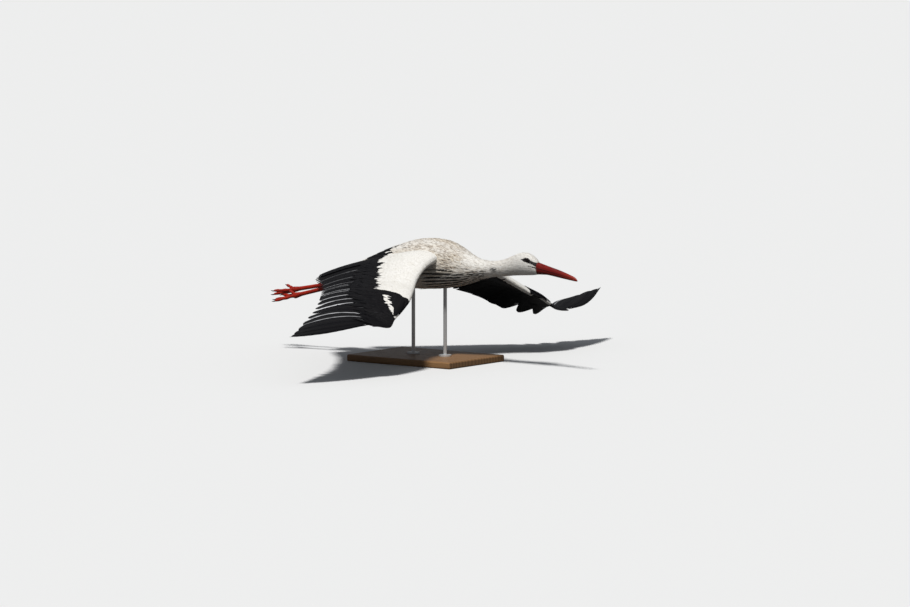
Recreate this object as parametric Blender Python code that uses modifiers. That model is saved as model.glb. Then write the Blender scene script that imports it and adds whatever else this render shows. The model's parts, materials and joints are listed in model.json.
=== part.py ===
"""A life-size white stork in flight, held up by a plain display stand.

Metres, +Z up. The bird flies towards +X and its left side is +Y. The origin is the centre of the
base's underside. Body and wing sizes are given from the point midway between the shoulder joints,
which hangs at SHOULDER. Every flesh and feather part is a loft of closed rings, and parts that
meet are kept GAP apart.
"""

import math

import bmesh
import bpy
from mathutils import Vector

# ---------------------------------------------------------------- driving dimensions
SHOULDER = Vector((0.100, 0.0, 0.345))
GAP = 0.0003
WING_GAP = 0.0009

# Trunk, neck and head in profile: place along the body, top, bottom and half width.
BODY = [
    (-0.405, -0.0500, -0.0865, 0.036),
    (-0.340, -0.0215, -0.0920, 0.046),
    (-0.270, 0.0085, -0.0995, 0.060),
    (-0.200, 0.0345, -0.1055, 0.070),
    (-0.130, 0.0540, -0.1070, 0.077),
    (-0.062, 0.0612, -0.1040, 0.079),
    (0.000, 0.0550, -0.0970, 0.074),
    (0.045, 0.0370, -0.0890, 0.063),
    (0.080, 0.0195, -0.0790, 0.050),
    (0.120, 0.0055, -0.0660, 0.037),
    (0.170, 0.0010, -0.0530, 0.0275),
    (0.220, 0.0085, -0.0465, 0.0255),
    (0.260, 0.0235, -0.0415, 0.0258),
    (0.292, 0.0350, -0.0385, 0.0270),
    (0.315, 0.0373, -0.0368, 0.0268),
    (0.340, 0.0305, -0.0345, 0.0240),
    (0.357, 0.0195, -0.0325, 0.0195),
    (0.367, 0.0090, -0.0308, 0.0150),
]
NECK_START = 0.095
HEAD_START = 0.255
BODY_RING = 24

# The head turns a little to the bird's right: the spine starts to bend and ends its bend here.
TURN_START = 0.180
TURN_END = 0.280
HEAD_TURN = math.tan(math.radians(5.0))

# Bill: place along the head's axis, culmen, cutting edge, underside and half width.
BILL = [
    (0.3673, 0.0085, -0.0095, -0.0305, 0.0145),
    (0.3850, 0.0048, -0.0115, -0.0298, 0.0134),
    (0.4100, -0.0008, -0.0148, -0.0294, 0.0120),
    (0.4590, -0.0112, -0.0226, -0.0350, 0.0092),
    (0.5000, -0.0220, -0.0304, -0.0396, 0.0062),
    (0.5240, -0.0300, -0.0362, -0.0420, 0.0036),
    (0.5335, -0.0372, -0.0398, -0.0422, 0.0012),
]
EYE_PLACE = (0.3335, 0.0155, 0.0150)
EYE_RADIUS = 0.0072

# Tail: place along the body, half width, top and bottom on the centre line.
TAIL = [
    (-0.4053, 0.035, -0.0510, -0.0860),
    (-0.4300, 0.041, -0.0620, -0.0850),
    (-0.4600, 0.048, -0.0735, -0.0870),
    (-0.4950, 0.054, -0.0845, -0.0910),
    (-0.5270, 0.058, -0.0945, -0.0970),
]
TAIL_FEATHERS = 12
TAIL_DROOP = 0.010
TAIL_NOTCH = 0.006
TAIL_ROUNDING = 0.10

# Wing: one row for each line from the leading edge to the trailing edge, along the feathers. Each
# row has the front point (forward, out, up on the right wing, up on the left wing), the same for
# the rear point, and the thickness and the camber as a share of the chord.
WING = [
    ((0.000, 0.045, 0.004, 0.004), (-0.440, 0.052, -0.070, -0.070), 0.046, 0.050),
    ((0.003, 0.085, 0.000, 0.000), (-0.468, 0.105, -0.085, -0.085), 0.044, 0.055),
    ((0.008, 0.140, -0.017, -0.017), (-0.432, 0.150, -0.096, -0.096), 0.038, 0.060),
    ((0.020, 0.200, -0.051, -0.048), (-0.365, 0.215, -0.099, -0.108), 0.033, 0.070),
    ((0.044, 0.250, -0.081, -0.082), (-0.318, 0.272, -0.1025, -0.120), 0.029, 0.080),
    ((0.070, 0.295, -0.096, -0.115), (-0.275, 0.330, -0.105, -0.137), 0.024, 0.090),
    ((0.087, 0.335, -0.114, -0.141), (-0.240, 0.380, -0.112, -0.154), 0.020, 0.100),
    ((0.094, 0.385, -0.142, -0.160), (-0.205, 0.435, -0.122, -0.177), 0.015, 0.110),
    ((0.099, 0.425, -0.160, -0.184), (-0.172, 0.490, -0.132, -0.211), 0.012, 0.115),
    ((0.101, 0.455, -0.183, -0.201), (-0.141, 0.545, -0.140, -0.231), 0.009, 0.110),
    ((0.095, 0.515, -0.175, -0.210), (-0.108, 0.612, -0.149, -0.244), 0.007, 0.100),
    ((0.086, 0.580, -0.174, -0.211), (-0.075, 0.682, -0.161, -0.206), 0.0055, 0.085),
    ((0.070, 0.655, -0.179, -0.206), (-0.045, 0.745, -0.172, -0.190), 0.0045, 0.060),
    ((0.049, 0.730, -0.185, -0.190), (-0.024, 0.795, -0.181, -0.176), 0.0035, 0.040),
    ((0.024, 0.795, -0.188, -0.172), (-0.010, 0.828, -0.186, -0.170), 0.0030, 0.020),
    ((-0.002, 0.843, -0.187, -0.165), (-0.006, 0.8445, -0.187, -0.166), 0.0020, 0.0),
]
WRIST = 6
HAND_END = 10.3
WRIST_SEAM = 0.004
COVERT_END = 0.60
THICKEST_AT = 0.13
THINNEST = 0.0014
SECONDARIES = 20
SECONDARY_NOTCH = 0.035
PRIMARIES = 10
PRIMARY_NOTCH = {"right": 0.13, "left": 0.26}
NOTCH_START = {"right": (6.0, 8.0), "left": (7.6, 9.0)}
ALULA_END = 8.6
ALULA_CHORD = 0.20
ALULA_THICK = 0.0035
ALULA_LIFT = 0.0012

# Legs, trailing under the tail: each has its own reach, because one foot is held further back.
LEG_SIDE = 0.024
LEGS = {
    "right": {"ankle": (-0.418, -0.1075), "toes": (-0.622, -0.1600), "pitch": 14, "curl": -5},
    "left": {"ankle": (-0.456, -0.1080), "toes": (-0.667, -0.1470), "pitch": 16, "curl": -5},
}
THIGH = [
    (-0.135, 0.040, -0.078, 0.020),
    (-0.170, 0.043, -0.081, 0.030),
    (-0.215, 0.043, -0.085, 0.032),
    (-0.260, 0.038, -0.090, 0.026),
    (-0.300, 0.032, -0.0945, 0.0175),
    (-0.340, 0.0275, -0.0985, 0.0100),
]
SHANK_RADIUS = 0.0062
ANKLE_RADIUS = 0.0100
TARSUS_RADIUS = 0.0066
# Each front toe: its length with the claw, how far it spreads outwards and how far it dips.
TOES = {"inner": (0.078, -13, -9), "middle": (0.098, 0, 0), "outer": (0.084, 13, 4)}
HALLUX_LENGTH = 0.036
HALLUX_PITCH = -38
TOE_RADIUS = 0.0056
TOE_ROOT_SHIFT = 0.006

# Display stand.
BASE_SIZE = (0.420, 0.300, 0.022)
BASE_BEVEL = 0.004
ROD_RADIUS = 0.006
ROD_TOP = -0.060
ROD_FLANGE = (0.021, 0.005)
ROD_PLACES = {"front": -0.020, "rear": -0.150}


# ---------------------------------------------------------------- small tools
def blend(keys, rows, at):
    """Smooth values at a place between rows of numbers, each row standing at its own key."""
    index = 0
    while index < len(keys) - 2 and at > keys[index + 1]:
        index += 1

    def slope(row):
        low = max(row - 1, 0)
        high = min(row + 1, len(keys) - 1)
        run = keys[high] - keys[low]
        return [(after - before) / run for before, after in zip(rows[low], rows[high])]

    width = keys[index + 1] - keys[index]
    part = (at - keys[index]) / width
    start = 2 * part**3 - 3 * part**2 + 1
    leave = (part**3 - 2 * part**2 + part) * width
    end = 3 * part**2 - 2 * part**3
    arrive = (part**3 - part**2) * width
    columns = zip(rows[index], slope(index), rows[index + 1], slope(index + 1))
    return [start * a + leave * b + end * c + arrive * d for a, b, c, d in columns]


def steps(low, high, count):
    """Evenly spaced places from low to high, both included."""
    return [low + (high - low) * index / (count - 1) for index in range(count)]


def smooth_step(low, high, value):
    part = min(max((value - low) / (high - low), 0.0), 1.0)
    return part * part * (3 - 2 * part)


def material(name, colour, roughness, metallic=0.0):
    made = bpy.data.materials.new(name)
    made.use_nodes = True
    shader = made.node_tree.nodes["Principled BSDF"]
    shader.inputs["Base Color"].default_value = (*colour, 1.0)
    shader.inputs["Roughness"].default_value = roughness
    shader.inputs["Metallic"].default_value = metallic
    made.diffuse_color = (*colour, 1.0)
    return made


def add_object(name, mesh, finish, collection):
    made = bpy.data.objects.new(name, mesh)
    if finish:
        mesh.materials.append(finish)
    mesh.shade_smooth()
    collection.objects.link(made)
    return made


def loft(name, rings, finish, collection):
    """A closed solid through rings that all have the same number of points."""
    mesh = bpy.data.meshes.new(name)
    shape = bmesh.new()
    loops = [[shape.verts.new(point) for point in ring] for ring in rings]
    count = len(rings[0])
    for near, far in zip(loops, loops[1:]):
        for index in range(count):
            after = (index + 1) % count
            shape.faces.new((near[index], near[after], far[after], far[index]))
    shape.faces.new(loops[0])
    shape.faces.new(loops[-1])
    bmesh.ops.triangulate(shape, faces=shape.faces)
    bmesh.ops.recalc_face_normals(shape, faces=shape.faces)
    shape.to_mesh(mesh)
    shape.free()
    return add_object(name, mesh, finish, collection)


def cut(target, cutter, operation="DIFFERENCE"):
    change = target.modifiers.new(cutter.name, "BOOLEAN")
    change.operation = operation
    change.object = cutter
    change.solver = "EXACT"


def as_helper(shape):
    shape.hide_render = True
    shape.display_type = "WIRE"
    return shape


# ---------------------------------------------------------------- trunk, neck and head
def spine_side(along):
    """Sideways place of the spine, which bends towards the bird's right in the upper neck."""
    bend = TURN_END - TURN_START
    reach = min(max(along - TURN_START, 0.0), bend)
    return -HEAD_TURN * (reach**2 / (2 * bend) + max(along - TURN_END, 0.0))


def body_ring(along, grow=0.0):
    keys = [row[0] for row in BODY]
    top, bottom, half_width = blend(keys, [row[1:] for row in BODY], along)
    middle = (top + bottom) / 2
    half_height = (top - bottom) / 2 + grow
    ring = []
    for index in range(BODY_RING):
        angle = 2 * math.pi * index / BODY_RING
        out = (half_width + grow) * math.cos(angle)
        up = half_height * math.sin(angle)
        ring.append(SHOULDER + Vector((along, spine_side(along) + out, middle + up)))
    return ring


def body_part(name, low, high, rings, finish, collection, grow=0.0):
    return loft(name, [body_ring(x, grow) for x in steps(low, high, rings)], finish, collection)


def make_eye(name, side, radius, finish, collection):
    along, out, up = EYE_PLACE
    centre = SHOULDER + Vector((along, spine_side(along) + side * out, up))
    mesh = bpy.data.meshes.new(name)
    shape = bmesh.new()
    bmesh.ops.create_uvsphere(shape, u_segments=12, v_segments=7, radius=radius)
    shape.to_mesh(mesh)
    shape.free()
    made = add_object(name, mesh, finish, collection)
    made.location = centre
    made.rotation_euler = (math.pi / 2, 0, 0)
    return made


def bill_part(name, upper, finish, collection):
    """One half of the bill: an arched section above or below the cutting edge."""
    keys = [row[0] for row in BILL]
    rings = []
    for along in steps(keys[0], keys[-1], 9):
        culmen, edge, under, half_width = blend(keys, [row[1:] for row in BILL], along)
        ridge = culmen if upper else under
        seat = edge + (GAP / 2 if upper else -GAP / 2)
        ring = []
        for angle in steps(0, math.pi, 9):
            out = half_width * math.cos(angle)
            up = seat + (ridge - seat) * math.sin(angle) ** 0.8
            ring.append(SHOULDER + Vector((along, spine_side(along) + out, up)))
        rings.append(ring)
    return loft(name, rings, finish, collection)


# ---------------------------------------------------------------- tail
def tail_rings():
    """Rings across the tail from its right edge to its left edge, with the tips of its feathers."""
    keys = [-row[0] for row in TAIL]
    rings = []
    for across in steps(-1, 1, TAIL_FEATHERS * 2 + 1):
        feather = (across + 1) / 2 * TAIL_FEATHERS % 1.0
        notch = TAIL_NOTCH * abs(2 * feather - 1) ** 2
        length = 1 - TAIL_ROUNDING * across**2 - notch / (TAIL[0][0] - TAIL[-1][0])
        upper = []
        lower = []
        for part in steps(0, 1, 4):
            away = keys[0] + (keys[-1] - keys[0]) * part * length
            half_width, top, bottom = blend(keys, [row[1:] for row in TAIL], away)
            droop = TAIL_DROOP * across**2 * part
            swell = math.sqrt(max(1 - across**2, 0.0)) * (1 - part) + part
            middle = (top + bottom) / 2 - droop
            half = max((top - bottom) / 2 * swell, THINNEST / 2)
            place = SHOULDER + Vector((-away, across * half_width, middle))
            upper.append(place + Vector((0, 0, half)))
            lower.append(place - Vector((0, 0, half)))
        rings.append(upper + lower[::-1])
    return rings


# ---------------------------------------------------------------- wings
def wing_line(side, station):
    """The wing's front and rear points, thickness and camber along one feather line."""
    up = 2 if side == "right" else 3
    sign = -1 if side == "right" else 1
    rows = [(f[0], f[1], f[up], r[0], r[1], r[up], t, c) for f, r, t, c in WING]
    values = blend(list(range(len(WING))), rows, station)
    front = SHOULDER + Vector((values[0], sign * values[1], values[2]))
    rear = SHOULDER + Vector((values[3], sign * values[4], values[5]))
    return front, rear, values[6], values[7]


def wing_point(side, station, chord, lift):
    """A point of the wing. lift is -1 on the underside, 1 on top, and more above the top."""
    front, rear, thick, camber = wing_line(side, station)
    before = wing_line(side, max(station - 0.2, 0))
    after = wing_line(side, min(station + 0.2, len(WING) - 1))
    outwards = (after[0] + after[1]) - (before[0] + before[1])
    back = rear - front
    normal = back.cross(outwards) if side == "left" else outwards.cross(back)
    normal.normalize()
    if normal.z < 0:
        normal = -normal
    hump = 4 * camber * chord * (1 - chord) * back.length
    swell = math.sin(math.pi / 2 * math.sqrt(min(max(chord, 0.0) / THICKEST_AT, 1.0)))
    fade = 1 - 0.93 * smooth_step(THICKEST_AT, 0.62, chord)
    half = max(thick * swell * fade, THINNEST) / 2
    return front + back * chord + normal * (hump + lift * half), normal


def wing_rings(side, stations, chord_from, chord_to, columns):
    """Rings from station to station, each round the wing between two shares of the chord."""
    rings = []
    for station in stations:
        low = chord_from(station)
        high = chord_to(station)
        chords = [low + (high - low) * part**1.3 for part in steps(0, 1, columns)]
        upper = [wing_point(side, station, chord, 1)[0] for chord in chords]
        lower = [wing_point(side, station, chord, -1)[0] for chord in chords]
        rings.append(upper + lower[::-1])
    return rings


def gap_share(side, station):
    front, rear = wing_line(side, station)[:2]
    return WING_GAP / max((rear - front).length, WING_GAP * 4)


def hand_chord(station):
    """Share of the chord that the hand and its coverts take, from the wrist outwards."""
    return 0.54 - 0.48 * (station - WRIST) / (HAND_END - WRIST)


def feather_edge(low, high, count, notch):
    """The trailing edge's share of the chord, with a rounded tip for each feather."""

    def edge(station):
        feather = (station - low) / (high - low) * count % 1.0
        return 1 - notch * abs(2 * feather - 1) ** 2.2

    return edge


def primary_edge(side):
    """Primary tips: deep notches between the inner ones on the left wing, fine ones elsewhere."""
    outer = len(WING) - 1
    tips = feather_edge(WRIST, outer, PRIMARIES, 1.0)

    def edge(station):
        depth = PRIMARY_NOTCH[side] * smooth_step(*NOTCH_START[side], station)
        depth *= 1 - 0.55 * smooth_step(outer - 5, outer - 3, station)
        return 1 - depth * (1 - tips(station)) * (1 - smooth_step(outer - 1.6, outer, station))

    return edge


def make_wing(side, finishes, parts):
    outer = len(WING) - 1

    def leading_edge(station):
        return 0.0

    def covert_edge(station):
        return COVERT_END

    def arm_back(station):
        return COVERT_END - gap_share(side, station)

    def hand_back(station):
        return hand_chord(station) - gap_share(side, station)

    def quill_front(station):
        return hand_chord(station) if station <= HAND_END else 0.0

    arm_steps = steps(0, WRIST - WRIST_SEAM, 11)
    arm_rings = wing_rings(side, arm_steps, leading_edge, arm_back, 8)
    arm = loft(f"wing_arm_{side}", arm_rings, finishes["white"], parts)

    vane_steps = steps(0, WRIST - WRIST_SEAM, SECONDARIES * 2 + 1)
    tips = feather_edge(0, WRIST, SECONDARIES, SECONDARY_NOTCH)
    vane_rings = wing_rings(side, vane_steps, covert_edge, tips, 3)
    secondaries = loft(f"wing_secondaries_{side}", vane_rings, finishes["black"], parts)

    hand_steps = steps(WRIST + WRIST_SEAM, HAND_END - 2 * WRIST_SEAM, 14)
    hand_rings = wing_rings(side, hand_steps, leading_edge, hand_back, 6)
    loft(f"wing_hand_{side}", hand_rings, finishes["black"], parts)

    quill_steps = steps(WRIST + WRIST_SEAM, HAND_END, 27)
    quill_steps += steps(HAND_END + WRIST_SEAM, outer, 21)
    quill_rings = wing_rings(side, quill_steps, quill_front, primary_edge(side), 4)
    loft(f"wing_primaries_{side}", quill_rings, finishes["black"], parts)

    loft(f"wing_alula_{side}", alula_rings(side), finishes["black"], parts)
    return arm, secondaries


def alula_rings(side):
    """The thumb's feathers, lying just above the front of the hand."""
    rings = []
    for station in steps(WRIST + 0.15, ALULA_END, 8):
        reach = (station - WRIST) / (ALULA_END - WRIST)
        low = 0.002 - 0.020 * reach**2
        high = ALULA_CHORD * (1 - reach**2.4) - 0.005
        thick = ALULA_THICK * (1 - 0.6 * reach)
        lower = []
        upper = []
        for chord in steps(low, high, 5):
            point, normal = wing_point(side, station, chord, 1)
            lower.append(point + normal * ALULA_LIFT)
            upper.append(point + normal * (ALULA_LIFT + thick))
        rings.append(upper + lower[::-1])
    return rings


# ---------------------------------------------------------------- legs
def tube_rings(path, radii, sides):
    """Round rings along a path, each square to it."""
    rings = []
    for index, (centre, radius) in enumerate(zip(path, radii)):
        before = path[max(index - 1, 0)]
        after = path[min(index + 1, len(path) - 1)]
        ahead = (after - before).normalized()
        across = ahead.cross(Vector((0, 0, 1))).normalized()
        over = across.cross(ahead)
        ring = []
        for turn in range(sides):
            angle = 2 * math.pi * turn / sides
            ring.append(centre + radius * (across * math.cos(angle) + over * math.sin(angle)))
        rings.append(ring)
    return rings


def toe_rings(start, length, turn, pitch, curl):
    """A toe with its claw: it swells at the joints, and bends down along its length."""
    path = []
    radii = []
    point = start
    for index in range(7):
        part = index / 6
        swell = 1 + 0.12 * math.cos(part * 6 * math.pi)
        claw = smooth_step(0.80, 1.0, part)
        radii.append(TOE_RADIUS * (1 - 0.30 * part) * swell * (1 - 0.80 * claw))
        path.append(point)
        dip = math.radians(pitch + curl * part)
        side = math.radians(turn)
        step = Vector((-math.cos(dip) * math.cos(side), math.sin(side), -math.sin(dip)))
        point = point + step * length / 6
    return tube_rings(path, radii, 6)


def make_leg(side, finishes, parts, helpers, trunk_cutter):
    leg = LEGS[side]
    sign = -1 if side == "right" else 1
    ankle = SHOULDER + Vector((leg["ankle"][0], sign * LEG_SIDE, leg["ankle"][1]))
    toes = SHOULDER + Vector((leg["toes"][0], sign * LEG_SIDE, leg["toes"][1]))
    thigh_path = [SHOULDER + Vector((x, sign * y, z)) for x, y, z, radius in THIGH]
    thigh_radii = [row[3] for row in THIGH]
    thigh_rings = tube_rings(thigh_path, thigh_radii, 12)
    thigh = loft(f"thigh_{side}", thigh_rings, finishes["white"], parts)
    cut(thigh, trunk_cutter)

    knee_end = thigh_path[-1]
    down = (ankle - knee_end).normalized()
    shank_start = knee_end + down * GAP * 4
    shank_path = [shank_start.lerp(ankle, part) for part in (0, 0.3, 0.6, 0.85)]
    shank_path += [ankle, ankle + down * ANKLE_RADIUS * 0.6]
    radii = [SHANK_RADIUS * 1.1, SHANK_RADIUS, SHANK_RADIUS, ANKLE_RADIUS * 0.85]
    radii += [ANKLE_RADIUS, ANKLE_RADIUS * 0.8]
    loft(f"shank_{side}", tube_rings(shank_path, radii, 10), finishes["red"], parts)

    along = (toes - ankle).normalized()
    start = ankle + along * (ANKLE_RADIUS * 0.75 + GAP * 8)
    tarsus_path = [start.lerp(toes, part) for part in (0, 0.06, 0.15, 0.5, 0.86, 0.95)]
    scale = (1.45, 1.35, 1.05, 1.0, 1.05, 1.35)
    tarsus_radii = [TARSUS_RADIUS * share for share in scale]
    loft(f"tarsus_{side}", tube_rings(tarsus_path, tarsus_radii, 10), finishes["red"], parts)

    pad_start = start.lerp(toes, 0.95) + along * GAP * 3
    pad_path = [pad_start, pad_start.lerp(toes, 0.5), toes, toes + along * 0.008]
    pad_radii = [TARSUS_RADIUS * 1.35, TARSUS_RADIUS * 1.5, TARSUS_RADIUS * 1.5, TARSUS_RADIUS]
    foot = loft(f"foot_{side}", tube_rings(pad_path, pad_radii, 10), finishes["red"], parts)
    for toe, (length, spread, dip) in TOES.items():
        shift = Vector((0, sign * TOE_ROOT_SHIFT * spread / TOES["outer"][1], 0))
        rings = toe_rings(toes + shift, length, sign * spread, leg["pitch"] + dip, leg["curl"])
        cut(foot, as_helper(loft(f"toe_{toe}_{side}", rings, None, helpers)), "UNION")
    hallux_start = toes - along * 0.002
    rings = toe_rings(hallux_start, HALLUX_LENGTH, -sign * 6, HALLUX_PITCH, 24)
    cut(foot, as_helper(loft(f"toe_hallux_{side}", rings, None, helpers)), "UNION")


# ---------------------------------------------------------------- stand
def make_base(finish, parts):
    mesh = bpy.data.meshes.new("stand_base")
    shape = bmesh.new()
    bmesh.ops.create_cube(shape, size=1.0)
    bmesh.ops.scale(shape, vec=BASE_SIZE, verts=shape.verts)
    bmesh.ops.translate(shape, vec=(0, 0, BASE_SIZE[2] / 2), verts=shape.verts)
    shape.to_mesh(mesh)
    shape.free()
    made = add_object("stand_base", mesh, finish, parts)
    mesh.shade_flat()
    edge = made.modifiers.new("rounded_edges", "BEVEL")
    edge.width = BASE_BEVEL
    edge.segments = 2


def make_rod(name, along, finish, parts, trunk_cutter):
    """A turned rod with a flange, standing on the base and running up to the belly."""
    flange_radius, flange_height = ROD_FLANGE
    foot = BASE_SIZE[2] + GAP
    top = SHOULDER.z + ROD_TOP
    profile = [
        (0, top),
        (ROD_RADIUS, top),
        (ROD_RADIUS, foot + flange_height),
        (flange_radius, foot + flange_height),
        (flange_radius, foot),
        (0, foot),
    ]
    mesh = bpy.data.meshes.new(name)
    mesh.from_pydata([(x, 0, z) for x, z in profile], [(i, i + 1) for i in range(5)], [])
    made = add_object(name, mesh, finish, parts)
    made.location = (SHOULDER.x + along, 0, 0)
    turn = made.modifiers.new("turned", "SCREW")
    turn.steps = 16
    turn.render_steps = 16
    turn.use_merge_vertices = True
    turn.merge_threshold = 0.00005
    cut(made, trunk_cutter)


# ---------------------------------------------------------------- assembly
def main():
    for old in list(bpy.data.objects):
        bpy.data.objects.remove(old, do_unlink=True)
    parts = bpy.data.collections.new("stork")
    helpers = bpy.data.collections.new("cutters")
    for collection in (parts, helpers):
        bpy.context.scene.collection.children.link(collection)

    finishes = {
        "white": material("white_feathers", (0.80, 0.77, 0.70), 0.85),
        "black": material("black_feathers", (0.012, 0.012, 0.014), 0.55),
        "red": material("red_leg_scales", (0.42, 0.035, 0.02), 0.5),
        "bill": material("red_bill_horn", (0.45, 0.03, 0.02), 0.35),
        "eye": material("dark_eye", (0.02, 0.015, 0.012), 0.05),
        "wood": material("oiled_oak", (0.28, 0.16, 0.08), 0.5),
        "steel": material("satin_steel", (0.55, 0.56, 0.57), 0.3, 1.0),
    }

    body_low = BODY[0][0]
    body_high = BODY[-1][0]
    white = finishes["white"]
    body_part("trunk", body_low, NECK_START, 20, white, parts)
    body_part("neck", NECK_START + GAP, HEAD_START, 10, white, parts)
    head = body_part("head", HEAD_START + GAP, body_high, 10, white, parts)
    trunk_cutter = body_part("trunk_room", body_low, NECK_START, 20, None, helpers, GAP)
    as_helper(trunk_cutter)
    for side, sign in (("right", -1), ("left", 1)):
        make_eye(f"eye_{side}", sign, EYE_RADIUS, finishes["eye"], parts)
        socket = make_eye(f"socket_{side}", sign, EYE_RADIUS + GAP, None, helpers)
        cut(head, as_helper(socket))
    bill_part("bill_upper", True, finishes["bill"], parts)
    bill_part("bill_lower", False, finishes["bill"], parts)
    loft("tail", tail_rings(), white, parts)

    for side in ("right", "left"):
        arm, secondaries = make_wing(side, finishes, parts)
        cut(arm, trunk_cutter)
        cut(secondaries, trunk_cutter)
        make_leg(side, finishes, parts, helpers, trunk_cutter)

    make_base(finishes["wood"], parts)
    for name, along in ROD_PLACES.items():
        make_rod(f"stand_rod_{name}", along, finishes["steel"], parts, trunk_cutter)


main()
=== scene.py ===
"""The looks of a life-size white stork, flying on its display stand.

Metres, +Z up, in the frame's own place. One skin covers all the flesh. Over it the plumage is laid as
solid vanes: small feathers are drawn flat on a chart of the body or the wing, and a Geometry Nodes tree
bends each of them onto that form. Quill feathers are ribbons, each with a shaft, run along the wing.
"""

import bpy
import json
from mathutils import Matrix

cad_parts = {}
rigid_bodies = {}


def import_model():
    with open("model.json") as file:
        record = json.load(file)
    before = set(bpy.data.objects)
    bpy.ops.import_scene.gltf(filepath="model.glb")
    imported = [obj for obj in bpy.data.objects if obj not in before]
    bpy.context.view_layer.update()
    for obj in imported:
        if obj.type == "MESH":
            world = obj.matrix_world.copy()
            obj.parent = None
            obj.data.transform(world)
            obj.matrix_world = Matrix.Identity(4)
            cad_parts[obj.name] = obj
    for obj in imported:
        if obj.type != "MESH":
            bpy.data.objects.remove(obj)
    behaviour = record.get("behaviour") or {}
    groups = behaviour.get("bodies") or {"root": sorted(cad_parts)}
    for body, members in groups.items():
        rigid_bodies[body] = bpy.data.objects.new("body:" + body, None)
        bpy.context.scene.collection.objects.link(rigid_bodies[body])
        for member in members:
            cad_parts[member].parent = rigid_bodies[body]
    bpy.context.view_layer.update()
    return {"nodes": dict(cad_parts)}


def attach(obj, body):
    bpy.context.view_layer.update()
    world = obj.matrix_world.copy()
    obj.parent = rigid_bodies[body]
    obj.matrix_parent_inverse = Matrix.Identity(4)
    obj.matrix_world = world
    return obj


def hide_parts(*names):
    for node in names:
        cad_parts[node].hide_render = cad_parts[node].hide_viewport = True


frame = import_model()

import json
from contextlib import contextmanager

import bmesh
import bpy
import numpy as np
from mathutils import Vector
from mathutils.kdtree import KDTree

RANDOM = np.random.default_rng(7)

# ---------------------------------------------------------------- the bird's form, as in the frame
SHOULDER = np.array([0.100, 0.0, 0.345])

# Trunk, neck and head: place along the body, top, bottom and half width.
BODY = np.array([
    (-0.405, -0.0500, -0.0865, 0.036), (-0.340, -0.0215, -0.0920, 0.046),
    (-0.270, 0.0085, -0.0995, 0.060), (-0.200, 0.0345, -0.1055, 0.070),
    (-0.130, 0.0540, -0.1070, 0.077), (-0.062, 0.0612, -0.1040, 0.079),
    (0.000, 0.0550, -0.0970, 0.074), (0.045, 0.0370, -0.0890, 0.063),
    (0.080, 0.0195, -0.0790, 0.050), (0.120, 0.0055, -0.0660, 0.037),
    (0.170, 0.0010, -0.0530, 0.0275), (0.220, 0.0085, -0.0465, 0.0255),
    (0.260, 0.0235, -0.0415, 0.0258), (0.292, 0.0350, -0.0385, 0.0270),
    (0.315, 0.0373, -0.0368, 0.0268), (0.340, 0.0305, -0.0345, 0.0240),
    (0.357, 0.0195, -0.0325, 0.0195), (0.367, 0.0090, -0.0308, 0.0150),
])
TURN_START = 0.180
TURN_END = 0.280
HEAD_TURN = np.tan(np.radians(5.0))

# Bill: place along the head, culmen, cutting edge, underside and half width.
BILL = np.array([
    (0.3673, 0.0085, -0.0095, -0.0305, 0.0145), (0.3850, 0.0048, -0.0115, -0.0298, 0.0134),
    (0.4100, -0.0008, -0.0148, -0.0294, 0.0120), (0.4590, -0.0112, -0.0226, -0.0350, 0.0092),
    (0.5000, -0.0220, -0.0304, -0.0396, 0.0062), (0.5240, -0.0300, -0.0362, -0.0420, 0.0036),
    (0.5335, -0.0372, -0.0398, -0.0422, 0.0012),
])
BILL_GAP = 0.0003
EYE_PLACE = (0.3335, 0.0155, 0.0150)
EYE_RADIUS = 0.0072
LID_HALF_LENGTH, LID_HALF_HEIGHT, LID_LEAN = 0.0056, 0.0047, -14

# Tail: place along the body, half width, top and bottom.
TAIL = np.array([
    (-0.4053, 0.035, -0.0510, -0.0860), (-0.4300, 0.041, -0.0620, -0.0850),
    (-0.4600, 0.048, -0.0735, -0.0870), (-0.4950, 0.054, -0.0845, -0.0910),
    (-0.5270, 0.058, -0.0945, -0.0970),
])
TAIL_DROOP = 0.010
TAIL_QUILLS = 12

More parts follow.
